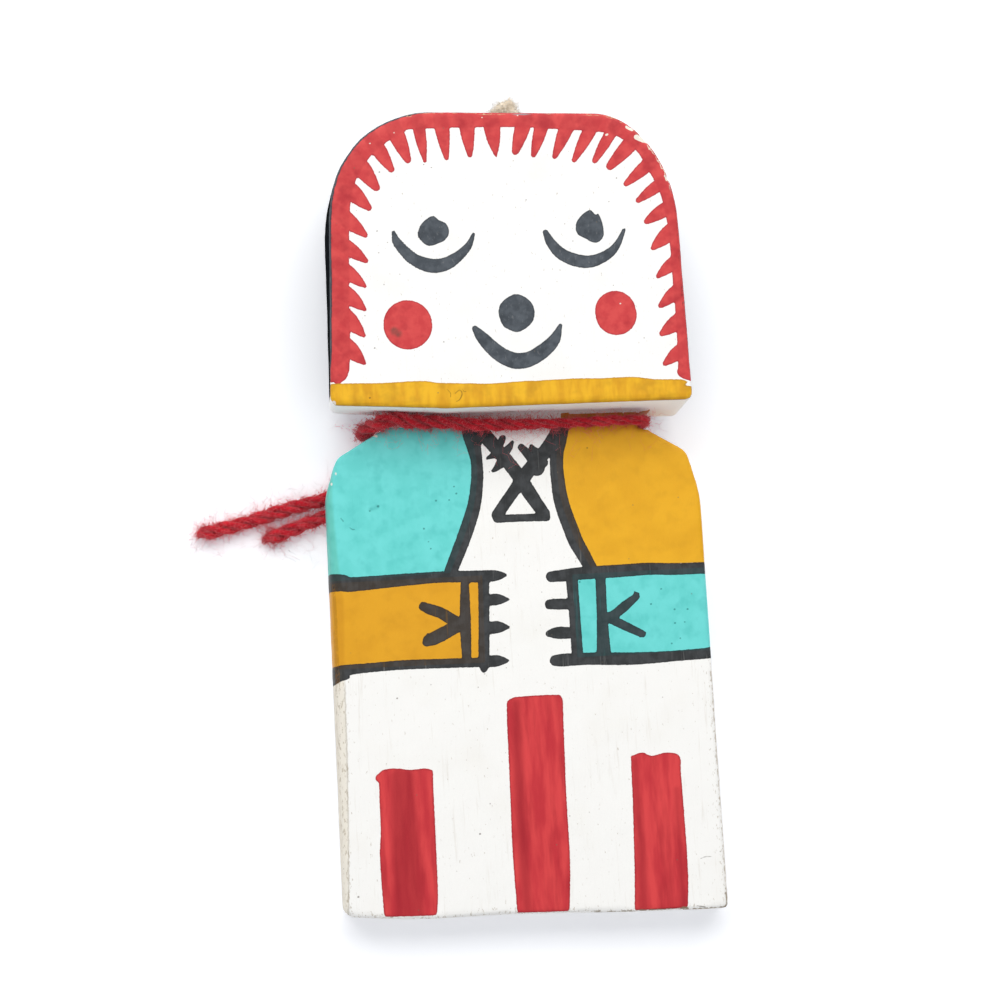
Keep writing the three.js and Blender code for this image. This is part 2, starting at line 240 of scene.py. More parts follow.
# %% [markdown]
# The part round the neck starts at the knot behind it, goes to the right, up through the filed groove,
# across the front, down beside the left shoulder's slope and back under the neck to the knot.

# %% The route round the neck
NECK_LEFT = -24.5
NECK_RIGHT = 31.0
SHOULDER_TOP = 104.4
SHOULDER_BEND = (-36.6, 97.7)
GROOVE_DEPTH = 3.2
GROOVE_MIDDLE = 102.7


def beside_slope(along, away, z):
    """A place beside the left shoulder's slope: so far down it from the neck, so far out from it."""
    down = Vector((SHOULDER_BEND[0] - NECK_LEFT, SHOULDER_BEND[1] - SHOULDER_TOP)).normalized()
    out = Vector((down.y, -down.x))
    place = Vector((NECK_LEFT, SHOULDER_TOP)) + along * down + away * out
    return (place.x, place.y, z)


def neck_route():
    near = YARN_RADIUS + CLEARANCE + 0.05
    diagonal = near * math.sqrt(0.5)
    floor = NECK_RIGHT - GROOVE_DEPTH
    front = BODY_FRONT + near - 0.4
    return [
        (KNOT_X, KNOT_Y, -near),
        (KNOT_X + 8, KNOT_Y + 0.2, -near),
        (KNOT_X + 16, GROOVE_MIDDLE, -near),
        (floor - 0.5, GROOVE_MIDDLE, -near),
        (floor + diagonal, GROOVE_MIDDLE, -diagonal),
        (floor + near, GROOVE_MIDDLE, 0.6),
        (floor + near, GROOVE_MIDDLE, BODY_FRONT / 2),
        (floor + near, GROOVE_MIDDLE, BODY_FRONT - 0.6),
        (floor + diagonal, GROOVE_MIDDLE, BODY_FRONT + diagonal),
        (floor - 0.5, GROOVE_MIDDLE, front),
        (24, GROOVE_MIDDLE + 0.15, front),
        (14, GROOVE_MIDDLE + 0.05, front),
        (3, GROOVE_MIDDLE + 0.2, front),
        (-7, GROOVE_MIDDLE + 0.6, front),
        (-14, GROOVE_MIDDLE + 1.4, front),
        (-20, SHOULDER_TOP + 0.1, front),
        beside_slope(-0.9, 0.5, front),
        beside_slope(1.9, diagonal, BODY_FRONT + diagonal),
        beside_slope(3.6, near, BODY_FRONT - 1.2),
        beside_slope(4.9, near, BODY_FRONT * 0.6),
        beside_slope(5.5, near, BODY_FRONT * 0.3),
        beside_slope(5.4, near, 0.7),
        beside_slope(4.8, diagonal, -diagonal),
        beside_slope(3.2, -1.0, -near),
        (-19, KNOT_Y + 2.0, -near),
        (-8, KNOT_Y + 2.4, -near),
        (-2, KNOT_Y + 2.1, -near),
        (KNOT_X, KNOT_Y + 0.8, -near),
    ]


neck_path = [on_board(*p) for p in smooth(neck_route(), steps=5)]
print("The wool round the neck is", round(line_length(neck_path), 3), "m long")

# %% [markdown]
# The yarn is three plies twisted together. Geometry Nodes do this well: the line is copied once for
# each ply, and each copy is moved sideways by a turn that grows along it. The plies' thickness
# wavers, because the wool is hand spun. Two attributes are kept for the material: how far along the
# yarn a place is, and how far round its ply.

# %% Geometry Nodes: a plied yarn


def group_inputs(tree, sockets):
    """Gives a geometry tree its inputs and its output, and returns its input node."""
    for name, kind, value in sockets:
        socket = tree.interface.new_socket(name, in_out="INPUT", socket_type=kind)
        if value is not None:
            socket.default_value = value
    tree.interface.new_socket("Geometry", in_out="OUTPUT", socket_type="NodeSocketGeometry")
    return add(tree, "NodeGroupInput")


def math_of(tree, operation, a, b=0.0, c=0.0):
    return add(tree, "ShaderNodeMath", {0: a, 1: b, 2: c}, operation=operation).outputs[0]


def vector_of(tree, operation, a, b=None, scale=None):
    inputs = {0: a}
    if b is not None:
        inputs[1] = b
    if scale is not None:
        inputs["Scale"] = scale
    return add(tree, "ShaderNodeVectorMath", inputs, operation=operation).outputs[0]


def plied_yarn_tree():
    tree = bpy.data.node_groups.new("plied yarn", "GeometryNodeTree")
    given = group_inputs(tree, [
        ("Geometry", "NodeSocketGeometry", None),
        ("Plies", "NodeSocketInt", 3),
        ("Ply radius", "NodeSocketFloat", 0.0007),
        ("Ply distance", "NodeSocketFloat", 0.0009),
        ("Twist length", "NodeSocketFloat", 0.011),
        ("Step", "NodeSocketFloat", 0.0006),
        ("Waver", "NodeSocketFloat", 0.15),
        ("Wool", "NodeSocketMaterial", None),
    ]).outputs
    even = add(
        tree,
        "GeometryNodeResampleCurve",
        {"Curve": given["Geometry"], "Length": given["Step"]},
        mode="LENGTH",
    )
    copies = add(
        tree,
        "GeometryNodeDuplicateElements",
        {"Geometry": even.outputs[0], "Amount": given["Plies"]},
        domain="SPLINE",
    )
    along = add(tree, "GeometryNodeSplineParameter").outputs["Length"]
    share = math_of(tree, "DIVIDE", copies.outputs["Duplicate Index"], given["Plies"])
    turns = math_of(tree, "ADD", math_of(tree, "DIVIDE", along, given["Twist length"]), share)
    angle = math_of(tree, "MULTIPLY", turns, 2 * math.pi)
    full = add(tree, "GeometryNodeInputRadius").outputs[0]
    slow = add(
        tree,
        "ShaderNodeTexNoise",
        {"Vector": add(tree, "GeometryNodeInputPosition").outputs[0], "Scale": 190.0, "Detail": 1.0},
    )
    slack = math_of(tree, "ADD", math_of(tree, "MULTIPLY", slow.outputs[0], 0.5), 0.75)
    distance = math_of(tree, "MULTIPLY", math_of(tree, "MULTIPLY", full, slack), given["Ply distance"])
    sideways = vector_of(tree, "SCALE", add(tree, "GeometryNodeInputNormal").outputs[0], scale=distance)
    offset = add(
        tree,
        "ShaderNodeVectorRotate",
        {"Vector": sideways, "Axis": add(tree, "GeometryNodeInputTangent").outputs[0], "Angle": angle},
        rotation_type="AXIS_ANGLE",
    )
    kept = add(
        tree,
        "GeometryNodeStoreNamedAttribute",
        {"Geometry": copies.outputs[0], "Name": "along", "Value": math_of(tree, "DIVIDE", along, MM)},
        data_type="FLOAT",
        domain="POINT",
    )
    laid = add(
        tree,
        "GeometryNodeSetPosition",
        {"Geometry": kept.outputs[0], "Offset": offset.outputs[0]},
    )
    lumps = add(
        tree,
        "ShaderNodeTexNoise",
        {"Vector": add(tree, "GeometryNodeInputPosition").outputs[0], "Scale": 420.0, "Detail": 2.0},
    )
    spread = math_of(tree, "MULTIPLY", math_of(tree, "SUBTRACT", lumps.outputs[0], 0.5), given["Waver"])
    wavering = math_of(tree, "ADD", math_of(tree, "MULTIPLY", spread, 2.0), 1.0)
    thickness = math_of(tree, "MULTIPLY", wavering, full)
    ring = add(
        tree,
        "GeometryNodeCurvePrimitiveCircle",
        {"Resolution": 10, "Radius": given["Ply radius"]},
        mode="RADIUS",
    )
    around = add(
        tree,
        "GeometryNodeStoreNamedAttribute",
        {
            "Geometry": ring.outputs[0],
            "Name": "around",
            "Value": add(tree, "GeometryNodeSplineParameter").outputs["Factor"],
        },
        data_type="FLOAT",
        domain="POINT",
    )
    tube = add(
        tree,
        "GeometryNodeCurveToMesh",
        {
            "Curve": laid.outputs[0],
            "Profile Curve": around.outputs[0],
            "Scale": thickness,
            "Fill Caps": True,
        },
    )
    soft = add(tree, "GeometryNodeSetShadeSmooth", {"Geometry": tube.outputs[0]})
    whole = add(tree, "GeometryNodeRealizeInstances", {"Geometry": soft.outputs[0]})
    dyed = add(
        tree, "GeometryNodeSetMaterial", {"Geometry": whole.outputs[0], "Material": given["Wool"]}
    )
    add(tree, "NodeGroupOutput", {"Geometry": dyed.outputs[0]})
    return tree


yarn_tree = plied_yarn_tree()
print("The yarn tree has", len(yarn_tree.nodes), "nodes")

# %% [markdown]
# Wool is hairy. A second tree scatters fibres over any surface: each one is a short line that leans
# away from the surface by chance, is bent by a noise that grows towards its tip, and becomes a
# three sided thread. The density follows an attribute of the surface, so that some of it can be
# bushier than the rest.

# %% Geometry Nodes: fibres on a surface


def fibre_tree():
    tree = bpy.data.node_groups.new("wool fibres", "GeometryNodeTree")
    given = group_inputs(tree, [
        ("Geometry", "NodeSocketGeometry", None),
        ("Per square metre", "NodeSocketFloat", 3.0e6),
        ("Shortest", "NodeSocketFloat", 0.0008),
        ("Longest", "NodeSocketFloat", 0.003),
        ("Lean", "NodeSocketFloat", 1.2),
        ("Bend", "NodeSocketFloat", 0.0012),
        ("Thickness", "NodeSocketFloat", 0.00003),
        ("Joints", "NodeSocketInt", 5),
        ("Seed", "NodeSocketInt", 1),
        ("Wool", "NodeSocketMaterial", None),
    ]).outputs
    bushy = add(tree, "GeometryNodeInputNamedAttribute", {"Name": "bushy"}, data_type="FLOAT").outputs[0]
    density = math_of(tree, "MULTIPLY", bushy, given["Per square metre"])
    roots = add(
        tree,
        "GeometryNodeDistributePointsOnFaces",
        {"Mesh": given["Geometry"], "Density": density, "Seed": given["Seed"]},
        distribute_method="RANDOM",
    )
    hair = add(
        tree,
        "GeometryNodeCurvePrimitiveLine",
        {"Start": (0.0, 0.0, 0.0), "End": (0.0, 0.0, 1.0)},
        mode="POINTS",
    )
    jointed = add(
        tree,
        "GeometryNodeResampleCurve",
        {"Curve": hair.outputs[0], "Count": given["Joints"]},
        mode="COUNT",
    )
    lean = add(
        tree,
        "FunctionNodeRandomValue",
        {0: (-1.0, -1.0, -1.0), 1: (1.0, 1.0, 1.0), "Seed": given["Seed"]},
        data_type="FLOAT_VECTOR",
    ).outputs[0]
    leaning = vector_of(tree, "SCALE", lean, scale=given["Lean"])
    turned = add(
        tree,
        "FunctionNodeRotateRotation",
        {"Rotation": roots.outputs["Rotation"], "Rotate By": leaning},
        rotation_space="LOCAL",
    )
    chance = add(
        tree, "FunctionNodeRandomValue", {2: 0.0, 3: 1.0, "Seed": given["Seed"]}, data_type="FLOAT"
    ).outputs[1]
    few_long = math_of(tree, "POWER", chance, 2.0)
    extra = math_of(
        tree, "MULTIPLY", few_long, math_of(tree, "SUBTRACT", given["Longest"], given["Shortest"])
    )
    length = math_of(tree, "ADD", given["Shortest"], extra)
    placed = add(
        tree,
        "GeometryNodeInstanceOnPoints",
        {
            "Points": roots.outputs["Points"],
            "Instance": jointed.outputs[0],
            "Rotation": turned.outputs[0],
            "Scale": add(tree, "ShaderNodeCombineXYZ", {0: length, 1: length, 2: length}).outputs[0],
        },
    )
    tone = add(
        tree,
        "GeometryNodeStoreNamedAttribute",
        {"Geometry": placed.outputs[0], "Name": "tone", "Value": chance},
        data_type="FLOAT",
        domain="INSTANCE",
    )
    whole = add(tree, "GeometryNodeRealizeInstances", {"Geometry": tone.outputs[0]})
    up_hair = add(tree, "GeometryNodeSplineParameter").outputs
    wind = add(
        tree,
        "ShaderNodeTexNoise",
        {"Vector": add(tree, "GeometryNodeInputPosition").outputs[0], "Scale": 700.0, "Detail": 1.0},
    ).outputs[1]
    centred = vector_of(tree, "SUBTRACT", wind, (0.5, 0.5, 0.5))
    reach = math_of(tree, "MULTIPLY", up_hair["Factor"], given["Bend"])
    bent = add(
        tree,
        "GeometryNodeSetPosition",
        {
            "Geometry": whole.outputs[0],
            "Offset": vector_of(tree, "SCALE", centred, scale=math_of(tree, "MULTIPLY", reach, 4.0)),
        },
    )
    ring = add(
        tree,
        "GeometryNodeCurvePrimitiveCircle",
        {"Resolution": 3, "Radius": given["Thickness"]},
        mode="RADIUS",
    )
    thread = add(
        tree,
        "GeometryNodeCurveToMesh",
        {"Curve": bent.outputs[0], "Profile Curve": ring.outputs[0], "Fill Caps": True},
    )
    dyed = add(
        tree, "GeometryNodeSetMaterial", {"Geometry": thread.outputs[0], "Material": given["Wool"]}
    )
    add(tree, "NodeGroupOutput", {"Geometry": dyed.outputs[0]})
    return tree


hair_tree = fibre_tree()
print("The fibre tree has", len(hair_tree.nodes), "nodes")

# %% [markdown]
# A modifier with one of these trees is only a recipe. For each piece its inputs are set, the result is
# evaluated and kept as a plain mesh, and the recipe is thrown away.

# %% Helpers that bake a tree into a mesh


def curve_object(name, points, fullness=None):
    """A curve object of one open line through the points, with how full the yarn is at each."""
    data = bpy.data.curves.new(name, "CURVE")
    data.dimensions = "3D"
    line = data.splines.new("POLY")
    line.points.add(len(points) - 1)
    for k, (mark, point) in enumerate(zip(line.points, points)):
        mark.co = (*point, 1.0)
        mark.radius = fullness[k] if fullness else 1.0
    made = bpy.data.objects.new(name, data)
    bpy.context.scene.collection.objects.link(made)
    return made


def baked(source, tree, inputs):
    """The plain mesh that a geometry tree makes of an object, with these named inputs."""
    modifier = source.modifiers.new("recipe", "NODES")
    modifier.node_group = tree
    names = {item.name: item.identifier for item in tree.interface.items_tree if item.in_out == "INPUT"}
    for name, value in inputs.items():
        modifier[names[name]] = value
    bpy.context.view_layer.update()
    result = source.evaluated_get(bpy.context.evaluated_depsgraph_get())
    mesh = bpy.data.meshes.new_from_object(result)
    source.modifiers.remove(modifier)
    return mesh


def coordinates(mesh):
    values = np.empty(len(mesh.vertices) * 3)
    mesh.vertices.foreach_get("co", values)
    return values.reshape(-1, 3)


def set_coordinates(mesh, places):
    mesh.vertices.foreach_set("co", places.reshape(-1))
    mesh.update()


TABLE_GAP = 0.02


def keep_above_table(mesh):
    """Bends whatever would sink into the table to lie on it."""
    places = coordinates(mesh)
    places[:, 2] = np.maximum(places[:, 2], TABLE_GAP * MM)
    set_coordinates(mesh, places)


def show(name, mesh):
    made = bpy.data.objects.new(name, mesh)
    bpy.context.scene.collection.objects.link(made)
    return made


def triangles(mesh):
    return sum(len(face.vertices) - 2 for face in mesh.polygons)


# %% [markdown]
# Dyed wool: carded fibres, spun and plied, so it has no gloss but a soft rim of light where its fibres
# stand up. Its colour wavers from fibre to fibre, and the grooves between the plies are darker only
# because less light gets into them. Stripes along the ply, slightly slanted by the spinning, stand for
# the fibres: real ones are 0.03 mm wide, and these are a few times wider so that they show.

# %% Material: dyed wool
FIBRE_STRIPES = 3.2
SPIN = 0.9
CLOUD_SCALE = 300.0
FIBRE_RELIEF = 0.12


def wool_material(name, dark, middle, light):
    material, tree, shader = new_material(name)
    along = add(tree, "ShaderNodeAttribute", attribute_name="along").outputs["Fac"]
    around = add(tree, "ShaderNodeAttribute", attribute_name="around").outputs["Fac"]
    tone = add(tree, "ShaderNodeAttribute", attribute_name="tone").outputs["Fac"]
    slant = math_of(tree, "MULTIPLY", along, SPIN)
    turned = math_of(tree, "ADD", math_of(tree, "MULTIPLY", around, 2 * math.pi), slant)
    on_ply = add(tree, "ShaderNodeCombineXYZ", {
        0: math_of(tree, "MULTIPLY", math_of(tree, "COSINE", turned), FIBRE_STRIPES),
        1: math_of(tree, "MULTIPLY", math_of(tree, "SINE", turned), FIBRE_STRIPES),
        2: math_of(tree, "MULTIPLY", along, 0.5),
    })
    stripes = add(
        tree, "ShaderNodeTexNoise", {"Vector": on_ply.outputs[0], "Scale": 1.0, "Detail": 3.0}
    ).outputs[0]
    place = add(tree, "ShaderNodeTexCoord").outputs["Object"]
    clouds = add(
        tree, "ShaderNodeTexNoise", {"Vector": place, "Scale": CLOUD_SCALE, "Detail": 2.0}
    ).outputs[0]
    cloudy = math_of(tree, "MULTIPLY", clouds, 0.3)
    mixed = math_of(tree, "ADD", math_of(tree, "MULTIPLY", stripes, 0.6), cloudy)
    level = math_of(tree, "ADD", mixed, math_of(tree, "MULTIPLY", tone, 0.35))
    ramp = add(tree, "ShaderNodeValToRGB", {"Fac": level})
    ramp.color_ramp.elements[0].position = 0.3
    ramp.color_ramp.elements[0].color = linear(dark)
    ramp.color_ramp.elements[1].position = 0.75
    ramp.color_ramp.elements[1].color = linear(light)
    ramp.color_ramp.elements.new(0.5).color = linear(middle)
    tree.links.new(ramp.outputs["Color"], shader.inputs["Base Color"])
    relief = add(
        tree,
        "ShaderNodeBump",
        {"Height": stripes, "Distance": FIBRE_RELIEF * MM, "Strength": 0.6},
    )
    tree.links.new(relief.outputs["Normal"], shader.inputs["Normal"])
    shader.inputs["Roughness"].default_value = 0.95
    shader.inputs["Specular IOR Level"].default_value = 0.1
    shader.inputs["Sheen Weight"].default_value = 0.3
    shader.inputs["Sheen Roughness"].default_value = 0.5
    return material


red_wool = wool_material("dyed red wool", "#980C20", "#D4202F", "#E8414C")
loose_wool = wool_material("loose fibres of red wool", "#B01227", "#D62435", "#E85A64")
cream_wool = wool_material("undyed cream wool", "#F0DCC0", "#FBEEDA", "#FFF8EC")
print("Wool materials:", ", ".join(m.name for m in (red_wool, loose_wool, cream_wool)))

# %% [markdown]
# The fuzz is made in three layers: a short nap that softens the plies, a haze of fine fibres and a few
# long strays. The fine ones are as thick as real wool, 0.03 mm. The nap is drawn at three times that,
# because it has to cover the plies with fewer fibres than real wool has.

# %% Helpers for plied yarn and its fuzz
PLY_RADIUS = 0.67
PLY_DISTANCE = 0.85
TWIST_LENGTH = 11.5
RING_STEP = 0.6
HAZE = {"Per square metre": 2.6e6, "Shortest": 0.8 * MM, "Longest": 3.2 * MM, "Lean": 1.5,
        "Bend": 1.2 * MM, "Thickness": 0.013 * MM, "Joints": 4}
STRAYS = {"Per square metre": 0.45e6, "Shortest": 2.5 * MM, "Longest": 9.0 * MM, "Lean": 1.4,
          "Bend": 2.6 * MM, "Thickness": 0.015 * MM, "Joints": 10}
NAP = {"Per square metre": 5.0e6, "Shortest": 0.5 * MM, "Longest": 1.1 * MM, "Lean": 1.7,
       "Bend": 0.6 * MM, "Thickness": 0.045 * MM, "Joints": 3}


def joined(name, meshes, material):
    """One mesh of several."""
    whole = bmesh.new()
    for mesh in meshes:
        whole.from_mesh(mesh)
    made = bpy.data.meshes.new(name)
    whole.to_mesh(made)
    whole.free()
    made.materials.append(material)
    keep_above_table(made)
    return made


def plied(name, paths):
    """One piece of plied yarn along each of the paths, which come with their fullness."""
    meshes = []
    for path, fullness in paths:
        source = curve_object(name + "_line", path, fullness)
        meshes.append(baked(source, yarn_tree, {
            "Plies": 3,
            "Ply radius": PLY_RADIUS * MM,
            "Ply distance": PLY_DISTANCE * MM,
            "Twist length": TWIST_LENGTH * MM,
            "Step": RING_STEP * MM,
            "Waver": 0.2,
            "Wool": red_wool,
        }))
        bpy.data.objects.remove(source)
    return show(name, joined(name, meshes, red_wool))


def fuzz(name, wool_piece, material, seed, layers, bushiness=None):
    """Layers of fibres over a piece of wool, as a piece of its own, by how bushy each place is."""
    places = coordinates(wool_piece.data)
    amount = np.ones(len(places)) if bushiness is None else bushiness(places)
    kept = wool_piece.data.attributes.new("bushy", "FLOAT", "POINT")
    kept.data.foreach_set("value", amount.astype(np.float32))
    meshes = [
        baked(wool_piece, hair_tree, {**layer, "Seed": seed + 10 * k, "Wool": material})
        for k, layer in enumerate(layers)
    ]
    return show(name, joined(name, meshes, material))


print("The plies turn once in", TWIST_LENGTH, "mm")

# %% [markdown]
# Now the two free ends. Each is one plied piece, and its fuzz is a second piece that goes with it.
# The cut ends are thinner and bushier than the rest.

# %% The free ends of the yarn
TAPER_LENGTH = 2.4
TIP_FULLNESS = 0.35
BRUSH_LENGTH = 5.0
BUSHIER_TIP = 2.6


def tapered(points):
    """How full a free end is: it thins out over its last millimetres."""
    left = line_length(points)
    fullness = []
    for a, b in zip(points, points[1:] + points[-1:]):
        share = min(1.0, left / (TAPER_LENGTH * MM))
        fullness.append(TIP_FULLNESS + (1 - TIP_FULLNESS) * share**0.6)
        left -= (b - a).length
    return fullness


def bushy_end(end):
    """A rule that makes the wool bushier at its cut end."""

    def rule(places):
        away = np.linalg.norm(places - np.array(end), axis=1)
        return 1.0 + BUSHIER_TIP * (1 - smoothstep(away, 0, BRUSH_LENGTH * MM))

    return rule


tails = []
for title, path, seed in (("long", long_path, 11), ("short", short_path, 12)):
    cord = plied(f"yarn_tail_{title}_wool", [(path, tapered(path))])
    bushy = bushy_end(path[-1])
    halo = fuzz(f"yarn_tail_{title}_fuzz", cord, loose_wool, seed, (NAP, HAZE, STRAYS), bushy)
    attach(cord, "root")
    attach(halo, "root")
    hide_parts(f"yarn_tail_{title}")
    tails.append(cord)
    print(cord.name, triangles(cord.data), "triangles and", triangles(halo.data), "of fuzz")

# %% [markdown]
# Behind the neck the two ends are tied in a flat knot. Nobody sees much of it, so it is two short
# arcs of the same yarn, pressed flat between the board and the table, over the loop's own ends.

# %% The yarn round the neck, with its knot
KNOT_LENGTH = 9.2
KNOT_WIDTH = 7.4
WRAP_FULLNESS = 0.96
THINNER_PULLED = 0.22
FULLER_SLACK = 0.16
BUSHY_BEHIND = 0.12
BUSHIER_FRONT = 0.75


def knot_paths():
    """Two bights of yarn that hook into each other, and the stub from which each free end leaves."""
    low = -KNOT_DEPTH + YARN_RADIUS - 0.1
    high = -YARN_RADIUS - CLEARANCE
    across = KNOT_LENGTH / 2 - YARN_RADIUS
    up = KNOT_WIDTH / 2 - YARN_RADIUS
    bight = []
    for k in range(13):
        angle = 2 * math.pi * k / 12
        height = low + (high - low) * (0.5 + 0.5 * math.cos(2 * angle))
        bight.append((KNOT_X + across * math.cos(angle), KNOT_Y + up * math.sin(angle), height))
    stubs = []
    for tail in (LONG_TAIL, SHORT_TAIL):
        stub = []
        for share in (0.1, 0.45, 0.75, 0.97):
            x, y = tail[0][0] * share, tail[0][1] * share
            stub.append((KNOT_X + x, KNOT_Y + y, high + (low - high) * share))
        stubs.append(stub)
    return [[on_board(*p) for p in smooth(points, steps=4)] for points in (bight, *stubs)]


def pulled_tight(points):
    """How full the yarn round the neck is: pulled thinner over the right of the front."""
    fullness = []
    for point in points:
        spot = board_place.inverted() @ point
        tight = max(0.0, min(1.0, (spot.x + 8.0) / 16.0)) if spot.z > 2.0 else 0.5
        slack = max(0.0, min(1.0, (-18.0 - spot.x) / 8.0))
        fullness.append(WRAP_FULLNESS - THINNER_PULLED * tight + FULLER_SLACK * slack)
    return fullness


def bushy_front(places):
    """Bushier in front of the neck than behind it."""
    inverse = np.array(board_place.inverted())
    height = places @ inverse[2, :3] + inverse[2, 3]
    return BUSHY_BEHIND + BUSHIER_FRONT * smoothstep(height, 0.0, 4.0)


wrap_parts = [(neck_path, pulled_tight(neck_path)), *((path, None) for path in knot_paths())]
yarn_wrap = plied("yarn_wrap", wrap_parts)
wrap_fuzz = fuzz("yarn_wrap_fuzz", yarn_wrap, loose_wool, 13, (NAP, HAZE, STRAYS), bushy_front)
for piece in (yarn_wrap, wrap_fuzz):
    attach(piece, "root")
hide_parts("neck_yarn")
print("The wrap has", triangles(yarn_wrap.data), "triangles and", triangles(wrap_fuzz.data), "of fuzz")

# %% [markdown]
# The tuft in the crown is a pinch of raw cream wool. A lumpy core, pressed into its hole, carries a
# dense coat of fibres, and a peak on the right stands higher than the rest.

# %% The tuft
FOOT_BELOW_TOP = 5.5
CORE_VOXEL = 0.25
TUFT_LUMPS = [
    # across, up, and out from the middle of the tuft's foot, then the radius, in millimetres
    (-2.1, 0.9, 0.3, 1.2), (0.2, 1.7, -0.4, 1.6), (1.5, 1.2, 0.5, 1.4), (1.0, 3.3, 0.2, 1.2),
    (-0.6, 2.5, 0.5, 1.4), (-1.4, 1.8, -0.2, 1.1), (0.0, -1.6, 0.0, 1.8),
]
FLUFF = {"Per square metre": 27.0e6, "Shortest": 0.5 * MM, "Longest": 1.7 * MM, "Lean": 1.5,
         "Bend": 0.9 * MM, "Thickness": 0.022 * MM, "Joints": 5}


def tuft_core():
    low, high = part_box("crown_tuft")
    middle = (low + high) / 2
    foot = Vector((middle.x, high.y - FOOT_BELOW_TOP * MM, middle.z))
    shape = bmesh.new()
    for across, up, out, radius in TUFT_LUMPS:
        lump = bmesh.ops.create_icosphere(shape, subdivisions=3, radius=radius * MM)
        bmesh.ops.translate(shape, verts=lump["verts"], vec=foot + Vector((across, up, out)) * MM)
    mesh = bpy.data.meshes.new("crown_tuft_core")
    shape.to_mesh(mesh)
    shape.free()
    mesh.materials.append(cream_wool)
    made = show("crown_tuft_wool", mesh)
    remesh = made.modifiers.new("one skin", "REMESH")
    remesh.mode = "VOXEL"
    remesh.voxel_size = CORE_VOXEL * MM
    bpy.context.view_layer.update()
    result = made.evaluated_get(bpy.context.evaluated_depsgraph_get())
    made.data = bpy.data.meshes.new_from_object(result)
    made.modifiers.clear()
    return made


tuft = tuft_core()
tuft_fuzz = fuzz("crown_tuft_fuzz", tuft, cream_wool, 14, (FLUFF,))
for piece in (tuft, tuft_fuzz):
    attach(piece, "root")
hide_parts("crown_tuft")
print("The tuft has", triangles(tuft.data), "triangles and", triangles(tuft_fuzz.data), "of fuzz")

# %% [markdown]
# The painting is made as the painter made it: strokes of a brush, each with a path and a width, and
# patches with a drawn edge. For every point of a fine mesh of the board the distance to the nearest
# stroke or patch of each colour is worked out, less than nothing inside it. A shader can then put a
# crisp edge where the distance is nought, at any zoom, and knows how near the paint's rim it is.

# %% Distances to strokes and patches
FAR = 3.0


def near_shape(places, line, margin):
    """Which places are near enough to a line for their distance to matter."""
    low = line[:, :2].min(0) - margin
    high = line[:, :2].max(0) + margin
    return np.all((places[:, :2] > low) & (places[:, :2] < high), axis=1)


def to_segments(places, line):
    """The nearest distance to each segment of a line, and how far along the segment that is."""
    start, end = line[:-1, :2], line[1:, :2]
    run = end - start
    gap = places[:, None, :2] - start[None]
    share = np.clip((gap * run).sum(-1) / np.maximum((run * run).sum(-1), 1e-9), 0, 1)
    return np.linalg.norm(gap - share[..., None] * run, axis=-1), share


def stroke(places, marks, steps=6):
    """Distance to a brush stroke through the marks, each of them x, y and half the brush's width."""
    line = smooth(marks, steps)
    distance = np.full(len(places), FAR)
    near = near_shape(places, line, FAR + line[:, 2].max())
    if near.any():
        gap, share = to_segments(places[near], line)
        half = line[:-1, 2] + share * (line[1:, 2] - line[:-1, 2])
        distance[near] = (gap - half).min(1)
    return distance


def patch(places, line):
    """Distance to a patch with a closed edge."""
    ring = np.vstack([line, line[:1]])
    distance = np.full(len(places), FAR)
    near = near_shape(places, ring, FAR)
    if near.any():
        spots = places[near]
        gap, _ = to_segments(spots, ring)
        start, end = ring[:-1], ring[1:]
        rise = end[:, 1] - start[:, 1]
        rise = np.where(np.abs(rise) < 1e-9, 1e-9, rise)
        crossing = start[:, 0] + (spots[:, 1:2] - start[:, 1]) * (end[:, 0] - start[:, 0]) / rise
        between = (start[:, 1] > spots[:, 1:2]) != (end[:, 1] > spots[:, 1:2])
        inside = (between & (spots[:, :1] < crossing)).sum(1) % 2 == 1
        distance[near] = np.where(inside, -gap.min(1), gap.min(1))
    return distance


def edge(*runs):
    """A closed edge of several runs: each is smooth, and they meet in corners."""
    return np.vstack([smooth(run, 5) if len(run) > 2 else np.array(run, float) for run in runs])


# %% [markdown]
# First the head. A red band follows its edge, and from it hang 28 short strokes, like a fringe. Their
# roots and tips are where the painter set them, in millimetres on the board.

# %% The painting on the head
OUTSIDE = 60.0
JAW_LEFT = 107.6
JAW_RIGHT = 105.6

BAND_EDGE = edge(
    [(-OUTSIDE, 112.5), (-36.9, 112.4)],
    [(-36.9, 112.4), (-36.2, 111.7), (-35.4, 112.2), (-34.2, 113.2), (-33.5, 114.9)],
    [(-33.5, 114.9), (-33.0, 121.1), (-32.8, 128.7), (-32.4, 135.9), (-31.9, 144.5), (-31.2, 150.5),
     (-29.6, 155.5), (-26.3, 160.1), (-22.3, 163.2), (-18.6, 165.3)],
    [(-18.6, 165.3), (-9.5, 165.4), (4.3, 165.1), (11.8, 164.5), (22.4, 163.5), (25.8, 162.6),
     (29.9, 159.3), (32.5, 154.4), (34.4, 150.1), (35.4, 144.6), (35.8, 139.0), (35.9, 130.0),
     (36.0, 122.0), (35.8, 112.6)],
    [(35.8, 112.6), (35.5, 111.2), (36.4, 110.1), (38.3, 109.4)],
    [(38.3, 109.4), (OUTSIDE, 109.3)],
    [(OUTSIDE, 190.0), (-OUTSIDE, 190.0)],
)

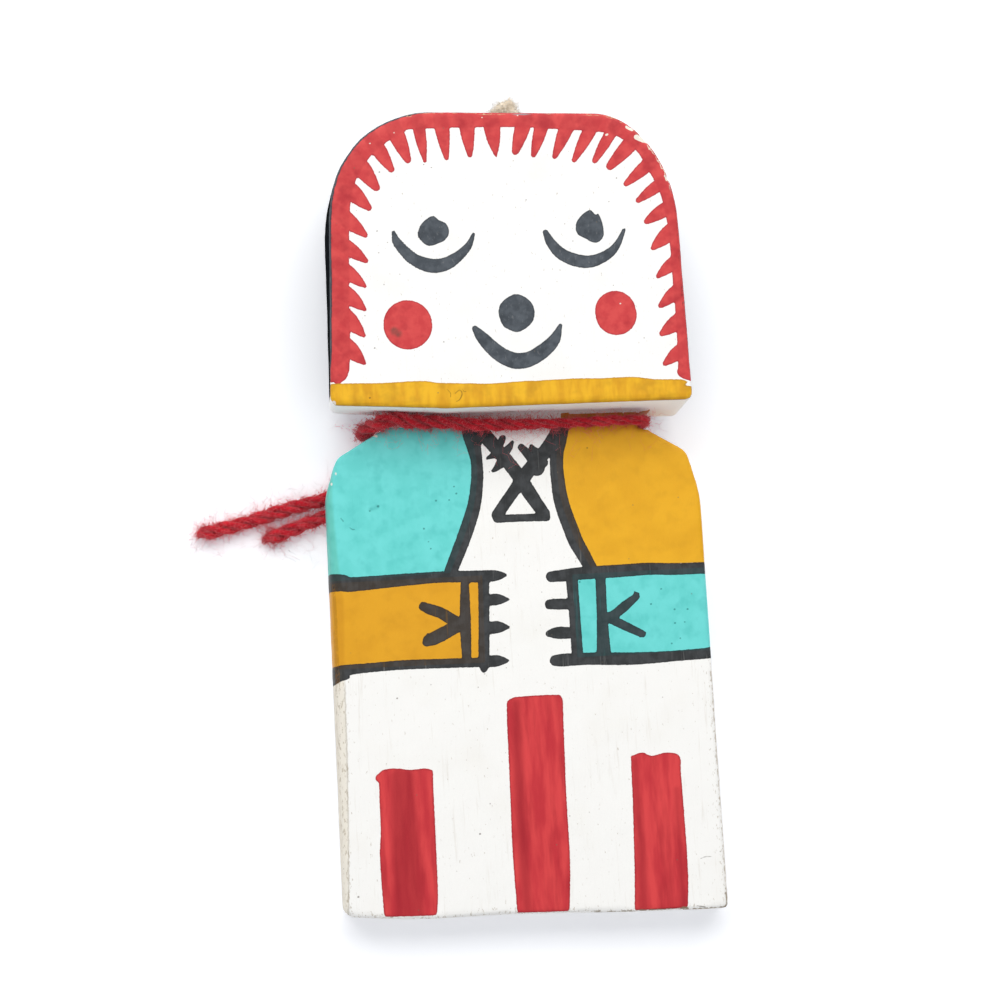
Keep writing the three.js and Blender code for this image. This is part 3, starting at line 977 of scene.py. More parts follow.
FRINGE = [
    # the root's middle, the tip, and half the width of each
    (-33.2, 119.2, -30.3, 116.1, 1.75, 0.40), (-33.0, 125.3, -30.1, 121.9, 1.75, 0.42),
    (-32.8, 130.4, -29.6, 127.4, 1.7, 0.40), (-32.5, 135.2, -29.3, 132.3, 1.5, 0.40),
    (-32.2, 140.4, -28.8, 137.7, 1.55, 0.55), (-31.9, 146.2, -28.6, 143.1, 1.65, 0.55),
    (-30.8, 152.3, -27.6, 148.9, 1.8, 0.70), (-28.5, 157.3, -25.8, 153.2, 1.85, 0.85),
    (-24.9, 161.4, -22.4, 156.9, 1.6, 0.70), (-20.8, 164.2, -18.8, 158.8, 1.75, 0.75),
    (-16.1, 166.0, -15.2, 158.5, 1.35, 0.40), (-11.2, 165.8, -10.6, 158.9, 1.6, 0.50),
    (-5.9, 165.7, -5.6, 159.4, 1.65, 0.55), (-0.6, 165.5, -0.1, 158.9, 1.8, 0.22),
    (6.0, 165.2, 4.1, 159.9, 1.65, 0.80), (9.9, 164.8, 7.9, 159.0, 1.45, 0.60),
    (15.2, 164.4, 12.4, 158.5, 1.55, 0.55), (20.2, 163.8, 16.5, 157.6, 1.45, 0.55),
    (24.6, 163.0, 20.9, 157.3, 1.25, 0.60), (28.6, 160.5, 24.1, 156.0, 1.65, 0.85),
    (31.9, 155.8, 27.3, 152.1, 1.4, 0.60), (33.9, 151.4, 29.6, 148.4, 1.3, 0.55),
    (34.9, 146.1, 31.2, 143.9, 1.5, 0.65), (35.6, 141.0, 32.2, 138.2, 1.7, 0.60),
    (35.8, 134.4, 32.8, 132.0, 1.35, 0.50), (36.1, 128.2, 32.9, 125.7, 1.5, 0.55),
    (36.0, 121.9, 32.8, 119.7, 1.65, 0.60), (35.9, 115.5, 33.0, 113.3, 1.45, 0.50),
]
STROKE_START = 3.6


def fringe(places):
    """The strokes that hang from the band. Each starts at the band's outer side and tapers."""
    nearest = np.full(len(places), FAR)
    for root_x, root_y, tip_x, tip_y, root_half, tip_half in FRINGE:
        root, tip = Vector((root_x, root_y)), Vector((tip_x, tip_y))
        start = root + STROKE_START * (root - tip).normalized()
        middle = root.lerp(tip, 0.5)
        marks = [
            (*start, root_half * 0.9),
            (*root, root_half),
            (*middle, 0.5 * root_half + 0.5 * max(tip_half, 0.5) + 0.16),
            (*tip, tip_half),
        ]
        nearest = np.minimum(nearest, stroke(places, marks, 4))
    return nearest


CHIN_TOP = [
    (-OUTSIDE, 112.1), (-37.5, 112.1), (-27.3, 111.8), (-19.0, 111.9), (-14.8, 111.3), (-9.6, 111.0),
    (-4.3, 110.7), (2.0, 110.9), (6.5, 110.9), (13.7, 111.0), (19.0, 110.8), (25.8, 110.8),
    (30.7, 110.1), (36.2, 109.8), (37.7, 109.1), (38.6, 108.3), (OUTSIDE, 108.0),
]
LEFT_CHEEK = [(-20.8, 123.9, 5.1), (-20.8, 123.7, 5.1)]
RIGHT_CHEEK = [(23.2, 124.9, 4.35), (23.3, 124.2, 4.4)]

LEFT_EYE = [
    (-14.3, 146.7), (-16.6, 145.2), (-17.6, 142.8), (-16.5, 141.0), (-15.2, 140.3), (-13.6, 140.7),
    (-11.9, 141.5), (-11.0, 143.1), (-11.5, 144.9), (-13.1, 145.8),
]
RIGHT_EYE = [
    (19.1, 146.8), (16.8, 145.2), (15.9, 143.4), (16.2, 141.7), (17.8, 140.7), (19.0, 139.9),
    (20.6, 139.8), (21.7, 141.1), (21.8, 142.8), (21.4, 144.7), (20.9, 145.9), (20.2, 145.7),
]
LEFT_LID = [
    (-22.7, 143.5, 0.35), (-22.1, 141.5, 0.9), (-20.4, 139.2, 1.15), (-18.4, 137.4, 1.3),
    (-15.2, 136.1, 1.5), (-12.0, 136.4, 1.4), (-9.0, 138.2, 1.05), (-7.0, 140.2, 0.75),
    (-5.8, 142.6, 0.3),
]
RIGHT_LID = [
    (9.4, 142.3, 0.6), (10.3, 140.2, 1.0), (12.2, 137.8, 1.25), (14.7, 136.4, 1.35),
    (17.6, 135.7, 1.35), (20.2, 136.1, 1.2), (22.9, 137.5, 1.0), (24.7, 139.4, 0.7), (26.2, 142.3, 0.35),
]
NOSE = [
    (2.5, 129.4), (0.6, 128.8), (-1.1, 127.4), (-1.6, 125.3), (-0.9, 122.9), (0.4, 121.9),
    (2.0, 121.3), (3.9, 122.0), (5.4, 123.3), (6.0, 125.1), (5.7, 127.0), (4.4, 128.5),
]
MOUTH = [
    (-6.8, 122.5, 0.6), (-5.4, 120.5, 1.25), (-3.1, 117.9, 1.55), (-0.8, 116.1, 1.65), (1.9, 115.2, 1.7),
    (4.8, 115.7, 1.6), (7.7, 117.4, 1.5), (9.9, 119.5, 1.2), (11.3, 122.4, 0.4),
]


def lowest_of(*distances):
    return np.minimum.reduce(distances)


def highest_of(*distances):
    return np.maximum.reduce(distances)


def head_colours(places):
    """Distances to the red, the doubled red, the ochre and the black of the face."""
    band = patch(places, BAND_EDGE)
    hanging = fringe(places)
    cheeks = lowest_of(stroke(places, LEFT_CHEEK), stroke(places, RIGHT_CHEEK))
    red = lowest_of(band, hanging, cheeks)
    doubled = highest_of(band, hanging)
    chin = edge(CHIN_TOP, [(OUTSIDE, 90.0), (-OUTSIDE, 90.0)])
    ochre = patch(places, chin)
    black = lowest_of(
        patch(places, smooth(LEFT_EYE, closed=True)),
        patch(places, smooth(RIGHT_EYE, closed=True)),
        patch(places, smooth(NOSE, closed=True)),
        stroke(places, LEFT_LID),
        stroke(places, RIGHT_LID),
        stroke(places, MOUTH),
    )
    return highest_of(red, -ochre - 0.1), doubled, ochre, black


# %% [markdown]
# Then the body: two bent arms, one turquoise over ochre and one the other way round, with black
# outlines, cuffs and fingers, a crossed ornament between them, and three red stripes below.

# %% The painting on the body
LEFT_ARM_LINE = [
    (-7.2, 106.5, 2.6), (-7.4, 103.5, 2.4), (-7.5, 101.3, 2.1), (-7.4, 99.1, 1.6), (-7.0, 95.9, 1.28),
    (-7.0, 92.7, 1.3), (-7.6, 88.4, 1.38), (-8.4, 85.3, 1.45), (-9.6, 82.1, 1.5), (-10.9, 79.0, 1.5),
    (-12.5, 75.5, 1.45), (-14.0, 72.3, 1.35),
]
RIGHT_ARM_LINE = [
    (11.9, 106.5, 2.0), (11.4, 102.5, 1.9), (10.9, 99.5, 1.7), (10.3, 96.5, 1.45), (10.05, 93.5, 1.45),
    (10.2, 90.0, 1.5), (10.4, 87.5, 1.55), (11.0, 84.4, 1.6), (12.1, 80.8, 1.62), (13.1, 77.7, 1.6),
    (14.5, 74.8, 1.5), (15.9, 72.0, 1.35),
]
ARM_TOP = 106.5
ARM_END = 71.4
WRIST_LEFT = -7.2
WRIST_RIGHT = 11.9
FOREARM_END = 53.0

NECKLACE = [
    # the two crossed bands, the base between their feet, and the leaves on them
    [(-6.6, 103.4, 1.6), (-5.2, 101.5, 1.6), (-2.8, 98.4, 1.5), (-0.4, 95.3, 1.45), (2.2, 91.5, 1.5),
     (3.7, 88.7, 1.5), (5.2, 86.2, 1.4), (6.7, 83.8, 1.3)],
    [(12.4, 103.4, 1.8), (11.2, 101.5, 1.7), (8.4, 97.8, 1.5), (5.8, 95.0, 1.5), (3.2, 92.2, 1.5),
     (0.4, 88.7, 1.28), (-1.6, 86.2, 1.25), (-3.2, 84.0, 1.3)],
    [(-3.4, 83.2, 0.85), (2.0, 83.15, 0.82), (7.2, 83.0, 0.85)],
    [(-2.4, 98.0, 0.9), (-1.1, 100.3, 0.72)],
    [(-1.3, 96.8, 0.95), (0.1, 98.2, 0.75), (1.0, 99.5, 0.3)],
    [(-2.6, 97.0, 0.9), (-4.7, 96.2, 0.3)],
    [(-1.7, 95.2, 1.1), (-2.9, 93.9, 0.6), (-3.7, 93.4, 0.3)],
    [(6.3, 96.4, 0.9), (4.9, 98.3, 0.5)],
    [(5.4, 95.0, 1.2), (3.8, 97.0, 0.95), (2.7, 98.2, 0.75)],
    [(6.6, 95.3, 1.3), (7.4, 94.6, 0.9)],
    [(6.2, 94.2, 1.5), (5.9, 93.4, 1.5)],
]
LEFT_FOREARM_TOP = [
    (-OUTSIDE, 71.6, 1.9), (-39.0, 71.5, 1.85), (-35.0, 70.95, 1.55), (-24.7, 71.3, 1.32),
    (-16.0, 71.5, 1.2), (-8.0, 71.2, 1.28), (-4.5, 71.2, 1.15), (-2.3, 71.2, 0.35),
]
LEFT_FOREARM_FOOT = edge(
    [(-OUTSIDE, 53.9), (-39.5, 53.9)],
    [(-39.5, 53.9), (-37.2, 54.2), (-32.0, 54.3), (-25.7, 54.5), (-19.3, 54.4), (-8.8, 54.1),
     (-7.0, 54.0)],
    [(-7.0, 52.0), (-8.9, 52.1), (-15.2, 52.3), (-25.8, 52.5), (-35.5, 52.1), (-36.4, 51.3),
     (-38.4, 50.7), (-39.8, 49.9)],
    [(-39.8, 49.9), (-OUTSIDE, 49.8)],
)
LEFT_HAND = [
    [(-11.0, 70.8, 0.85), (-11.4, 62.2, 1.18), (-11.6, 53.4, 1.0)],
    [(-7.0, 70.8, 1.2), (-7.45, 62.0, 1.15), (-8.0, 53.2, 1.2)],
    [(-8.0, 52.2, 1.0), (-8.1, 51.5, 0.6)],
    [(-7.0, 66.1, 1.0), (-4.6, 66.15, 1.22), (-2.0, 66.05, 0.3)],
    [(-7.4, 60.2, 1.1), (-4.8, 60.3, 1.3), (-2.3, 60.15, 0.3)],
    [(-8.0, 53.1, 1.1), (-5.2, 53.25, 1.2), (-2.9, 53.1, 0.3)],
    [(-20.2, 65.45, 0.85), (-18.7, 64.85, 1.15), (-16.4, 63.9, 1.2), (-14.2, 62.4, 1.25),
     (-12.4, 61.3, 1.3)],
    [(-12.6, 61.3, 1.3), (-15.7, 59.8, 1.42), (-18.2, 58.7, 1.4), (-19.8, 58.0, 0.95)],
]
SQUARE_ENDS = [
    [(-20.6, 66.5), (-19.4, 66.35), (-18.6, 65.0), (-19.8, 64.4), (-20.85, 64.8)],
    [(-20.45, 59.0), (-19.4, 60.0), (-18.4, 59.4), (-19.9, 57.1), (-20.8, 57.8)],
    [(5.9, 65.2), (7.2, 65.6), (7.2, 63.4), (5.9, 63.6)],
    [(24.7, 66.5), (26.1, 65.9), (26.0, 64.7), (25.0, 64.4)],
    [(25.4, 58.3), (27.0, 57.5), (26.6, 56.4), (25.5, 56.5)],
]
RIGHT_FOREARM_TOP = [
    (7.4, 70.35, 1.15), (10.5, 70.5, 1.3), (14.1, 70.7, 1.35), (22.3, 70.8, 1.35), (28.8, 70.9, 1.3),
    (37.0, 70.5, 1.25), (OUTSIDE, 70.5, 1.2),
]
RIGHT_HAND = [
    [(11.75, 70.5, 1.3), (11.9, 62.3, 1.2), (11.95, 53.0, 1.25)],
    [(17.95, 70.5, 1.1), (17.75, 62.0, 1.15), (17.6, 53.0, 1.55)],
    [(6.7, 64.5, 1.05), (8.0, 64.5, 1.15), (11.6, 64.3, 1.15)],
    [(6.1, 58.35, 0.7), (8.2, 58.4, 1.28), (11.6, 58.2, 1.15)],
    [(7.1, 52.6, 1.15), (9.0, 52.6, 1.35), (14.0, 52.6, 1.3), (19.1, 52.3, 1.35), (25.0, 52.05, 1.3),
     (31.8, 52.1, 1.15), (39.0, 52.3, 1.15), (44.0, 52.6, 1.3), (OUTSIDE, 52.6, 1.3)],
    [(18.6, 60.9, 1.2), (20.4, 61.6, 1.0), (22.8, 63.3, 1.05), (25.4, 65.2, 0.72)],
    [(19.4, 60.8, 1.0), (22.7, 59.0, 0.95), (25.8, 57.3, 0.82)],
]
STRIPES = [
    edge([(-31.2, 31.4), (-30.5, 31.9), (-28.0, 32.1), (-24.9, 31.6), (-21.9, 31.7), (-20.5, 31.4)],
         [(-20.5, 31.4), (-20.1, 30.9), (-20.2, 28.0), (-20.3, 18.8), (-20.5, 6.4), (-20.9, 1.9)],
         [(-20.9, 1.9), (-21.2, 1.4), (-22.0, 1.25), (-30.9, 1.6), (-31.7, 1.75), (-32.0, 2.3)],
         [(-32.0, 2.3), (-32.2, 13.4), (-31.7, 19.5), (-31.6, 25.7), (-31.5, 29.2)],
         [(-31.5, 29.2), (-32.1, 29.9), (-32.1, 30.7), (-31.2, 31.4)]),
    edge([(-3.7, 44.6), (-2.4, 45.3), (-0.2, 45.5), (3.4, 45.5), (7.2, 45.4), (7.9, 45.1)],
         [(7.9, 45.1), (8.2, 44.2), (8.1, 40.0), (7.7, 25.4), (7.6, 10.8), (6.9, 0.8)],
         [(6.9, 0.8), (6.6, 0.35), (5.8, 0.25), (-3.4, 0.55), (-4.0, 0.7), (-4.2, 1.2)],
         [(-4.2, 1.2), (-4.4, 13.6), (-4.1, 28.2), (-3.9, 40.7)]),
    edge([(21.9, 31.6), (24.3, 32.2), (26.4, 31.4), (29.2, 31.9), (31.5, 31.6), (32.1, 31.2)],
         [(32.1, 31.2), (32.5, 30.3), (32.4, 27.0), (32.5, 19.6), (32.5, 7.0), (32.0, -0.2)],
         [(32.0, -0.2), (31.7, -0.7), (31.0, -0.85), (21.4, -0.6), (20.8, -0.5), (20.6, 0.0)],
         [(20.6, 0.0), (21.1, 7.8), (21.7, 22.4)]),
]
DOUBLED = [
    # where the brush went twice down a stripe
    [(-26.6, 30.0, 2.4), (-26.7, 16.0, 2.8), (-26.9, -6.0, 2.9)],
    [(-1.8, 44.0, 0.9), (-2.2, 22.0, 1.1), (-1.9, -6.0, 0.8)],
    [(22.6, 30.5, 0.5), (22.9, 12.0, 0.7), (22.4, -6.0, 1.0)],
    [(31.2, 24.0, 0.3), (31.0, 5.0, 0.5), (30.8, -6.0, 0.6)],
]


def body_colours(places):
    """Distances to the red, the doubled red, the ochre, turquoise and black of the body."""
    arm_left = [(x, y) for x, y, _ in LEFT_ARM_LINE]
    arm_right = [(x, y) for x, y, _ in RIGHT_ARM_LINE]
    shoulder_left = [(-OUTSIDE, ARM_TOP), arm_left[0]]
    shoulder_right = [(OUTSIDE, ARM_TOP), arm_right[0]]
    teal = lowest_of(
        patch(places, edge(shoulder_left, arm_left, [arm_left[-1], (-OUTSIDE, ARM_END)])),
        patch(places, edge([(WRIST_RIGHT, ARM_END - 0.8), (OUTSIDE, ARM_END - 0.8)],
                           [(OUTSIDE, FOREARM_END), (WRIST_RIGHT, FOREARM_END)])),
    )
    ochre = lowest_of(
        patch(places, edge(shoulder_right, arm_right, [arm_right[-1], (OUTSIDE, ARM_END)])),
        patch(places, edge([(-OUTSIDE, ARM_END), (WRIST_LEFT, ARM_END)],
                           [(WRIST_LEFT - 0.5, FOREARM_END), (-OUTSIDE, FOREARM_END + 0.6)])),
    )
    black = lowest_of(
        stroke(places, LEFT_ARM_LINE),
        stroke(places, RIGHT_ARM_LINE),
        stroke(places, LEFT_FOREARM_TOP),
        patch(places, LEFT_FOREARM_FOOT),
        stroke(places, RIGHT_FOREARM_TOP),
        *[stroke(places, marks) for marks in NECKLACE + LEFT_HAND + RIGHT_HAND],
        *[patch(places, np.array(line)) for line in SQUARE_ENDS],
    )
    red = lowest_of(*[patch(places, line) for line in STRIPES])
    doubled = lowest_of(*[stroke(places, marks) for marks in DOUBLED])
    return red, highest_of(doubled, red), ochre, teal, black


# %% [markdown]
# The doll has been handled. Specks of dirt sit in the paint, the turquoise arm has a scratch, the chin
# some brown scrapes and the left cheek a grey smudge. Small flecks of paint are gone, most of them
# from the crown's right corner, and show the cream ground. Each is a very short stroke too.

# %% Wear and dirt
SPECKS = [
    # x, y and radius on the head's front
    (-24.9, 156.4, 0.17), (-15.5, 157.7, 0.14), (-13.9, 157.0, 0.13), (-26.1, 143.9, 0.15),
    (-25.3, 132.5, 0.14), (-28.0, 119.2, 0.16), (-13.5, 119.9, 0.14), (15.1, 140.2, 0.13),
    (5.7, 149.4, 0.13), (-29.6, 108.8, 0.2), (25.3, 153.4, 0.15),
    # and on the body's
    (-12.1, 90.5, 0.17), (-11.7, 89.0, 0.2), (-13.3, 87.7, 0.17), (-16.1, 87.7, 0.2), (-19.0, 81.9, 0.2),
    (-18.2, 79.1, 0.14), (-17.8, 77.6, 0.17), (-28.4, 87.1, 0.25), (-30.2, 86.2, 0.17),
    (16.9, 97.4, 0.17),
    (13.4, 68.9, 0.2), (28.4, 63.4, 0.2), (30.8, 66.5, 0.18), (33.4, 62.0, 0.2), (36.2, 61.9, 0.2),
    (33.3, 59.1, 0.2), (35.4, 59.2, 0.16), (32.3, 54.8, 0.18), (34.2, 55.8, 0.16), (-26.7, 46.6, 0.17),
    (-37.1, 6.1, 0.2), (-11.0, 17.4, 0.2), (-8.5, 23.5, 0.14),
]
SCRATCHES = [
    [(-36.4, 85.0, 0.1), (-35.9, 84.3, 0.12)],
    [(-34.6, 82.9, 0.08), (-34.1, 82.5, 0.13), (-33.6, 82.5, 0.08)],
    [(-13.4, 109.9, 0.06), (-12.7, 109.0, 0.1), (-12.8, 108.2, 0.06)],
    [(-11.8, 108.9, 0.07), (-10.8, 109.6, 0.1), (-10.3, 108.8, 0.12), (-10.9, 107.6, 0.1),
     (-11.7, 107.2, 0.06)],
    [(-10.2, 109.8, 0.05), (-9.9, 109.3, 0.09), (-9.4, 109.2, 0.05)],
    [(33.9, -0.5, 0.1), (35.6, -0.9, 0.14)],
    [(35.2, 9.2, 0.05), (36.6, 9.6, 0.08), (38.0, 9.4, 0.05)],
]
FLECKS = [
    # where the paint is gone
    [(28.3, 164.4, 0.35), (29.3, 163.8, 0.35)],
    [(30.2, 162.1, 0.55), (31.6, 161.7, 0.75), (33.0, 161.2, 0.45)],
    [(35.8, 153.5, 0.25), (36.8, 152.6, 0.3)],
    [(-26.6, 162.6, 0.13), (-26.5, 162.6, 0.13)],
    [(-21.4, 164.7, 0.13), (-21.3, 164.7, 0.13)],
    [(-2.6, 167.4, 0.12), (-2.5, 167.4, 0.12)],
    [(5.0, 167.6, 0.12), (5.1, 167.6, 0.12)],
    [(23.7, 162.8, 0.2), (24.0, 162.9, 0.2)],
    [(24.3, 126.5, 0.14), (24.4, 126.5, 0.14)],
    [(-37.6, 107.7, 0.6), (-37.2, 108.0, 0.5)],
    [(-36.9, 94.6, 0.16), (-36.9, 94.3, 0.16)],
    [(-37.9, 92.5, 0.16), (-37.9, 92.2, 0.16)],
    [(-28.4, 102.2, 0.25), (-27.9, 102.0, 0.25)],
    [(1.1, -0.2, 0.3), (2.4, -0.3, 0.3)],
]
SMUDGES = [
    [(-23.7, 122.6, 0.8), (-22.9, 122.0, 0.7)],
    [(-30.0, 86.6, 0.3), (-28.7, 87.0, 0.35)],
]


def wear(places):
    """Distances to the dirt, the places without paint, and the smudges."""
    dirt = lowest_of(
        *[stroke(places, [(x - 0.03, y, r), (x + 0.03, y, r)], 1) for x, y, r in SPECKS],
        *[stroke(places, marks, 3) for marks in SCRATCHES],
    )
    bare = lowest_of(*[stroke(places, marks, 2) for marks in FLECKS])
    smudge = lowest_of(*[stroke(places, marks, 2) for marks in SMUDGES])
    return dirt, bare, smudge


# %% [markdown]
# The real outline strays from the solid's by up to a millimetre: the crown stands a little higher, its
# left corner a little further out, and the foot's edge hangs a little lower on the left. And its edges
# wear first, so it is useful to know how far any place is from the nearest edge.

# %% The true outline, and its edges
CROWN_RISE = 0.32
CORNER_OUT = 0.6
FOOT_ACROSS = (-41.0, -38.0, -29.0, -21.0, -4.5, 6.7, 20.0, 32.0, 41.0)
FOOT_DROP = (0.2, 0.45, 1.0, 1.0, 0.46, 0.38, 0.5, 0.27, 0.1)
PARED_UP = (0.0, 4.6, 20.0, 34.0, 49.0, 57.3, 63.6, 67.8, 72.0, 76.2, 82.6, 88.9, 93.1, 99.0)
PARED_LINE = (
    -39.6, -39.2, -38.4, -37.9, -37.5, -37.1, -36.8, -36.7, -37.1, -37.4, -37.7, -37.9, -37.7, -37.0
)


def trued(places):
    """Moves places of the solid to where the real outline runs."""
    x, y, _ = places.T
    moved = places.copy()
    corner = CORNER_OUT * (1 - smoothstep(np.hypot(x + 30.5, y - 159.0), 2.0, 14.0))
    drop = np.interp(x, FOOT_ACROSS, FOOT_DROP) * (1 - smoothstep(y, 3.0, 12.0))
    moved[:, 0] -= 0.75 * corner
    moved[:, 1] += 0.6 * corner + CROWN_RISE * smoothstep(y, 158.0, 167.0) - drop
    return moved


def front_edge(mesh):
    """A tree of points along the rounded front edges, to find the nearest of them quickly."""
    places = coordinates(mesh)
    leaning = np.array([0.4 < v.normal.z < 0.93 and v.co.z > BODY_FRONT - 1.5 for v in mesh.vertices])
    marks = [places[leaning]]
    for a, b in (e.vertices for e in mesh.edges):
        if leaning[a] and leaning[b]:
            marks.append(np.array([places[a] + (places[b] - places[a]) * t for t in (0.25, 0.5, 0.75)]))
    marks = np.vstack(marks)
    tree = KDTree(len(marks))
    for k, mark in enumerate(marks):
        tree.insert(mark, k)
    tree.balance()
    return tree


# %% [markdown]
# The board needs a fine mesh to carry those distances. A copy of the solid is laid flat in its own
# axes, merged, and remeshed to an even grid of voxels. The remesh rounds the sawn edges too much, so
# its points are pulled back onto the solid, and those beside a sharp edge onto that edge.

# %% A fine mesh of the board
VOXEL = 0.85
SHARP_ANGLE = math.radians(40)
SNAP_SHARE = 0.6
STRAY_SHARE = 0.06

board_copy = frame["nodes"]["carved_figure"].data.copy()
board_copy.transform(board_place.inverted())
solid = bmesh.new()
solid.from_mesh(board_copy)
bmesh.ops.remove_doubles(solid, verts=solid.verts, dist=0.002)
solid.to_mesh(board_copy)
true_surface = BVHTree.FromBMesh(solid)
sharp_edges = np.array([
    [tuple(v.co) for v in e.verts]
    for e in solid.edges
    if len(e.link_faces) == 2 and e.calc_face_angle(0.0) > SHARP_ANGLE
])
solid.free()
board = show("painted_board", board_copy)
skin = board.modifiers.new("even skin", "REMESH")
skin.mode = "VOXEL"
skin.voxel_size = VOXEL
bpy.context.view_layer.update()
evaluated = board.evaluated_get(bpy.context.evaluated_depsgraph_get())
board.data = bpy.data.meshes.new_from_object(evaluated)
board.modifiers.clear()


def onto_solid(mesh):
    """Pulls the points of the even skin onto the solid, and onto its sharp edges where they are near."""
    places = coordinates(mesh)
    pulled = np.array([tuple(true_surface.find_nearest(Vector(p))[0]) for p in places])
    moved = np.flatnonzero(np.linalg.norm(pulled - places, axis=1) > STRAY_SHARE * VOXEL)
    start, run = sharp_edges[:, 0], sharp_edges[:, 1] - sharp_edges[:, 0]
    for k in moved:
        share = np.clip(((pulled[k] - start) * run).sum(1) / (run * run).sum(1), 0, 1)
        spots = start + share[:, None] * run
        gaps = np.linalg.norm(spots - pulled[k], axis=1)
        if gaps.min() < SNAP_SHARE * VOXEL:
            pulled[k] = spots[gaps.argmin()]
    set_coordinates(mesh, pulled)
    return len(moved)


print(onto_solid(board.data), "points were pulled back onto the solid")
set_coordinates(board.data, trued(coordinates(board.data)))
nearest_edge = front_edge(board.data)
print("The board's even skin has", len(board.data.polygons), "faces")


def slow_waver(places, size, seed):
    """A smooth waver between -1 and 1, of waves about this long."""
    x, y, z = (places / size).T
    first = np.sin(x * 2.1 + seed) * np.cos(y * 1.7 + 2 * seed)
    second = np.sin(y * 3.3 - 1.3 * x + seed) * np.cos(z * 2.9 + seed)
    third = np.sin(x * 5.1 + y * 4.3 + 3 * seed)
    return (first + 0.6 * second + 0.3 * third) / 1.9


# %% [markdown]
# Each paint also stops somewhere on the board's depth: on the head's rounded front edge, or a little
# way down the body's sides. The sides of the head are black, up to the front edge on the left, and the
# flat underside of the jaw is bare priming, with a brown line at both its ends and a place where it
# is torn.

# %% How far each place is from each paint
PAINT_TOP = 103.5
JAW_RUN = (-37.0, -13.0)
HEAD_ARRIS = 0.75
BODY_ARRIS = 0.35
DIRT_DEPTH = 0.9
BARE_DEPTH = 1.5
BACK_MARGIN = 1.6
BLACK_BELOW_FRONT = 0.7
BLACK_HIGHER_LEFT = 0.48
JAW_CORNER = (-38.3, -37.3)
JAW_LINE_GAP = (-18.0, 26.0)
TEAR = (1.2, 10.6)


def jaw_at(x):
    """How far up the board the jaw's front edge is: it slopes down on the left."""
    share = np.clip((x - JAW_RUN[0]) / (JAW_RUN[1] - JAW_RUN[0]), 0, 1)
    return JAW_LEFT + (JAW_RIGHT - JAW_LEFT) * share


def black_sides(places, jaw, ragged):
    """Distance to the black of the head's sides, which is worn on the right."""
    x, y, z = places.T
    worn = 0.4 * smoothstep(ragged, 0.1, 0.35) * (x > 0)
    upper_left = smoothstep(-x, 10.0, 18.0) * smoothstep(y, 112.0, 122.0)
    top = HEAD_FRONT - BLACK_BELOW_FRONT + BLACK_HIGHER_LEFT * upper_left - worn
    corner = 2.2 * smoothstep(x, *JAW_CORNER) * (x < 0)
    return highest_of(z - top, jaw + 0.6 + corner - y)


def jaw_marks(places, jaw, ragged):
    """Distances to the brown line at the jaw's ends, and to its torn place."""
    x, y, z = places.T
    in_gap = np.maximum(np.minimum(x - JAW_LINE_GAP[0], JAW_LINE_GAP[1] - x), 0.0)
    line = np.abs(z - HEAD_FRONT + 0.85) - 0.16 + 0.05 * ragged
    waver = slow_waver(places, 4.0, 2.3)
    tear = np.hypot(x - TEAR[0], 1.4 * (z - TEAR[1])) - 0.7 - 0.5 * waver
    return highest_of(line, y - jaw - 0.5, in_gap), highest_of(tear, y - jaw - 0.4)


def paint_distances(places):
    """Distances to each paint and mark at places on the board."""
    x, y, z = places.T
    jaw = jaw_at(x)
    beside_neck = (x > NECK_RIGHT + 0.3) | (x < NECK_LEFT - 0.8)
    on_head = (z > BODY_FRONT + 0.6) | (y > jaw + 1.0) | (beside_neck & (y > jaw - 1.4))
    face_red, face_doubled, face_ochre, face_black = head_colours(places)
    red, doubled, ochre, teal, black = body_colours(places)
    dirt, bare, smudge = wear(places)
    ragged = 0.25 * np.sin(y * 1.9) + 0.2 * np.sin(y * 4.3 + 1.7) + 0.15 * np.sin(x * 3.1)
    arris = HEAD_FRONT - HEAD_ARRIS - z
    back = BACK_MARGIN + ragged - z
    handled = BODY_FRONT - DIRT_DEPTH - z
    under_yarn = y - PAINT_TOP - 0.3 * ragged
    jaw_line, torn = jaw_marks(places, jaw, ragged)
    side_black = black_sides(places, jaw, ragged)
    on_both = {
        # what the head carries, and what the body does
        "red": (highest_of(face_red, arris), highest_of(red, BODY_FRONT - BODY_ARRIS - z)),
        "doubled": (highest_of(face_doubled, arris), doubled),
        "ochre": (highest_of(face_ochre, arris), highest_of(ochre, back)),
        "teal": (np.full(len(x), FAR), highest_of(teal, back, under_yarn)),
        "black": (
            lowest_of(highest_of(face_black, arris), side_black),
            highest_of(black, back, under_yarn),
        ),
        "dirt": (lowest_of(highest_of(dirt, arris), jaw_line), highest_of(dirt, handled)),
        "bare": (highest_of(bare, arris - 0.5), highest_of(bare, BODY_FRONT - BARE_DEPTH - z)),
        "smudge": (lowest_of(highest_of(smudge, arris), torn), highest_of(smudge, handled)),
        "pared": (
            np.full(len(x), FAR),
            highest_of(x - np.interp(y, PARED_UP, PARED_LINE), 3.0 - z),
        ),
    }
    found = {name: np.where(on_head, head, body) for name, (head, body) in on_both.items()}
    rim = np.array([nearest_edge.find(Vector(p))[2] for p in places])
    return {**found, "rim": np.minimum(rim, FAR), "head": on_head.astype(float)}


print("The jaw's edge is", JAW_LEFT, "mm up on the left and", JAW_RIGHT, "on the right")

# %% [markdown]
# The grid is divided once more only where a brush stroke ends, and once again round the small specks,
# so that the faces are spent where the eye needs them.

# %% Finer faces at the paint's edges
EDGE_BAND = 0.75
SPECK_BAND = 0.55


